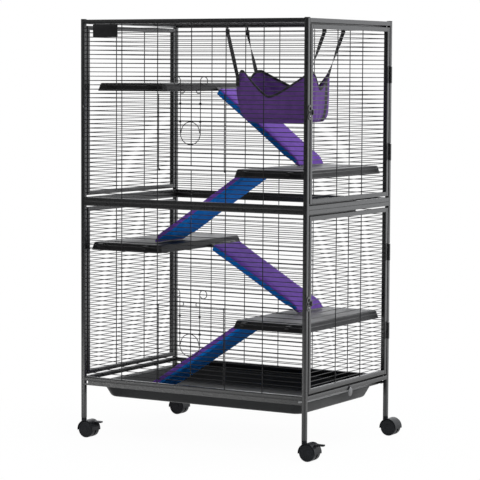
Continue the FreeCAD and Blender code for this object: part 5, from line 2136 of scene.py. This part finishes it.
@dataclass
class Studio:
    """White floor, soft lamps and the camera."""

    camera_at: Triple = (3.2493, -5.4946, 1.1048)
    azimuth: float = 30.499
    pitch: float = -4.579
    roll: float = 0.285
    lens: float = 159.65
    sensor: float = 36.0
    view_end: float = 50.0
    front: float = 0.07
    back: float = 1.7
    back_lift: float = 0.25
    back_band: Pair = (-0.3, 0.4)
    floor_size: float = 4.6
    floor_z: float = -0.0005
    white_near: float = 0.965
    white_band: Pair = (0.4, 1.0)

    WHITE = (1, 1, 1, 1)
    COOL_WHITE = (0.97, 0.98, 1, 1)
    PAPER = (0.85, 0.85, 0.85, 1)
    LAMPS = (("key", (1.9, -2.8, 3.2), (0, 0, 0.7), (2.2, 2.2), 52.0),
             ("fill", (-2.8, -2.6, 2.2), (0, 0, 0.6), (2.4, 2.4), 12.0),
             ("low", (-0.58, -1.16, 0.06), (-0.07, -0.28, 0.06), (0.9, 0.11), 1.5))

    def camera(self) -> None:
        """Set the camera where the photograph was taken from."""
        az = math.radians(self.azimuth)
        p = math.radians(self.pitch)
        r = math.radians(self.roll)
        ahead = Vector((-math.sin(az), math.cos(az), 0))
        right = Vector((math.cos(az), math.sin(az), 0))
        up = Vector((0, 0, 1))
        look = ahead * math.cos(p) + up * math.sin(p)
        above = up * math.cos(p) - ahead * math.sin(p)
        across = right * math.cos(r) + above * math.sin(r)
        top = above * math.cos(r) - right * math.sin(r)
        data = bpy.data.cameras.new("camera")
        data.lens = self.lens
        data.sensor_width = self.sensor
        data.clip_end = self.view_end
        obj = bpy.data.objects.new("camera", data)
        bpy.context.scene.collection.objects.link(obj)
        turn = Matrix((across, top, -look)).transposed().to_4x4()
        obj.matrix_world = Matrix.Translation(self.camera_at) @ turn
        bpy.context.scene.camera = obj

    def world(self) -> None:
        """White to the camera; as light, bright behind the object and dim in front."""
        world = bpy.data.worlds.new("studio")
        bpy.context.scene.world = world
        n = Nodes.of(world)
        out = n.add("ShaderNodeOutputWorld")
        white = n.add("ShaderNodeBackground", Strength=1.0, Color=self.WHITE)
        soft = n.add("ShaderNodeBackground", Color=self.COOL_WHITE)
        where = n.add("ShaderNodeTexCoord")
        behind = n.add("ShaderNodeVectorMath", operation="DOT_PRODUCT")
        az = math.radians(self.azimuth)
        behind.inputs[1].default_value = (math.sin(az), math.cos(az), self.back_lift)
        n.link(where, "Generated", behind, 0)
        level = n.add("ShaderNodeMapRange", From_Min=self.back_band[0], From_Max=self.back_band[1],
                      To_Min=self.front, To_Max=self.back)
        n.link(behind, "Value", level, "Value")
        n.link(level, "Result", soft, "Strength")
        path = n.add("ShaderNodeLightPath")
        most = n.math("MAXIMUM", (path, "Is Camera Ray"), (path, "Is Transmission Ray"))
        n.mix(most, soft, white, out)

    def floor(self) -> None:
        """Pale floor that stays white to the camera and keeps a faint shadow under the object."""
        Bench.clear()
        bpy.ops.mesh.primitive_plane_add(size=self.floor_size, location=(0, 0, self.floor_z))
        obj = bpy.context.object
        obj.name = "floor"
        Bench.settle(obj)
        made = bpy.data.materials.new("floor_white")
        n = Nodes.of(made)
        out = n.add("ShaderNodeOutputMaterial")
        paper = n.add("ShaderNodeBsdfDiffuse", Roughness=0.6, Color=self.PAPER)
        glow = n.add("ShaderNodeEmission", Strength=1.0)
        where = n.add("ShaderNodeTexCoord")
        far = n.add("ShaderNodeVectorMath", operation="LENGTH")
        n.link(where, "Object", far, 0)
        white = n.add("ShaderNodeMapRange", From_Min=self.white_band[0], From_Max=self.white_band[1],
                      To_Min=self.white_near, To_Max=1.0)
        n.link(far, "Value", white, "Value")
        path = n.add("ShaderNodeLightPath")
        seen = n.math("MULTIPLY", (path, "Is Camera Ray"), (white, "Result"))
        share = n.math("MAXIMUM", (path, "Is Glossy Ray"), (seen, 0))
        n.mix(share, paper, glow, out)
        obj.data.materials.append(made)

    def lamp(self, name: str, at: Vector, aim: Vector, size: Pair, power: float) -> None:
        """Hang one soft lamp.

        Args:
            name: Name of the lamp.
            at: Where it hangs.
            aim: Where it points.
            size: Its width and height.
            power: Its power in watts.
        """
        data = bpy.data.lights.new(name, "AREA")
        data.shape = "RECTANGLE"
        data.size, data.size_y = size
        data.energy = power
        obj = bpy.data.objects.new(name, data)
        bpy.context.scene.collection.objects.link(obj)
        obj.location = at
        obj.rotation_euler = (Vector(aim) - Vector(at)).to_track_quat("-Z", "Y").to_euler()

    def build(self) -> None:
        """Set the whole stage."""
        bpy.context.scene.view_settings.view_transform = "Standard"
        self.camera()
        self.world()
        self.floor()
        for lamp in self.LAMPS:
            self.lamp(*lamp)


def main() -> None:
    """Build the sub-assemblies in order and set the stage."""
    logging.basicConfig(level=logging.INFO, format="%(name)s %(message)s")
    Studio().build()
    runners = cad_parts["tray_runners"]
    runners.data.materials.clear()
    runners.data.materials.append(FRAME_PAINT.material())
    SquareFrame().build()
    Grilles().build()
    SmallDoors().build()
    Latches().build()
    decks = (Platform("platform_upper_left", (-0.345, -0.103), 1.06319, 1, 0.110),
             Platform("platform_upper_right", (0.128, 0.365), 0.818755, -1, -0.081),
             Platform("platform_lower_left", (-0.368, -0.120), 0.587515, 1, 0.110),
             Platform("platform_lower_right", (0.128, 0.365), 0.381675, -1, -0.081))
    feet = ((0.1887, 0.819055), (-0.1838, 0.587815), (0.1919, 0.381975), (-0.228, 0.1266))
    for number, (deck, foot) in enumerate(zip(decks, feet), start=1):
        deck.build()
        Ramp(number, deck.rod, deck.ramp_y, deck.edge, foot).build()
    Tray().build()
    Hammock().build()
    for name, sx, sy in (("front_left", -1, -1), ("front_right", 1, -1), ("back_left", -1, 1),
                         ("back_right", 1, 1)):
        Caster(name, sx * PLAN.post_x, sy * PLAN.post_y, sy < 0).build()
    BarePlate().build()


if __name__ == "__main__":
    main()
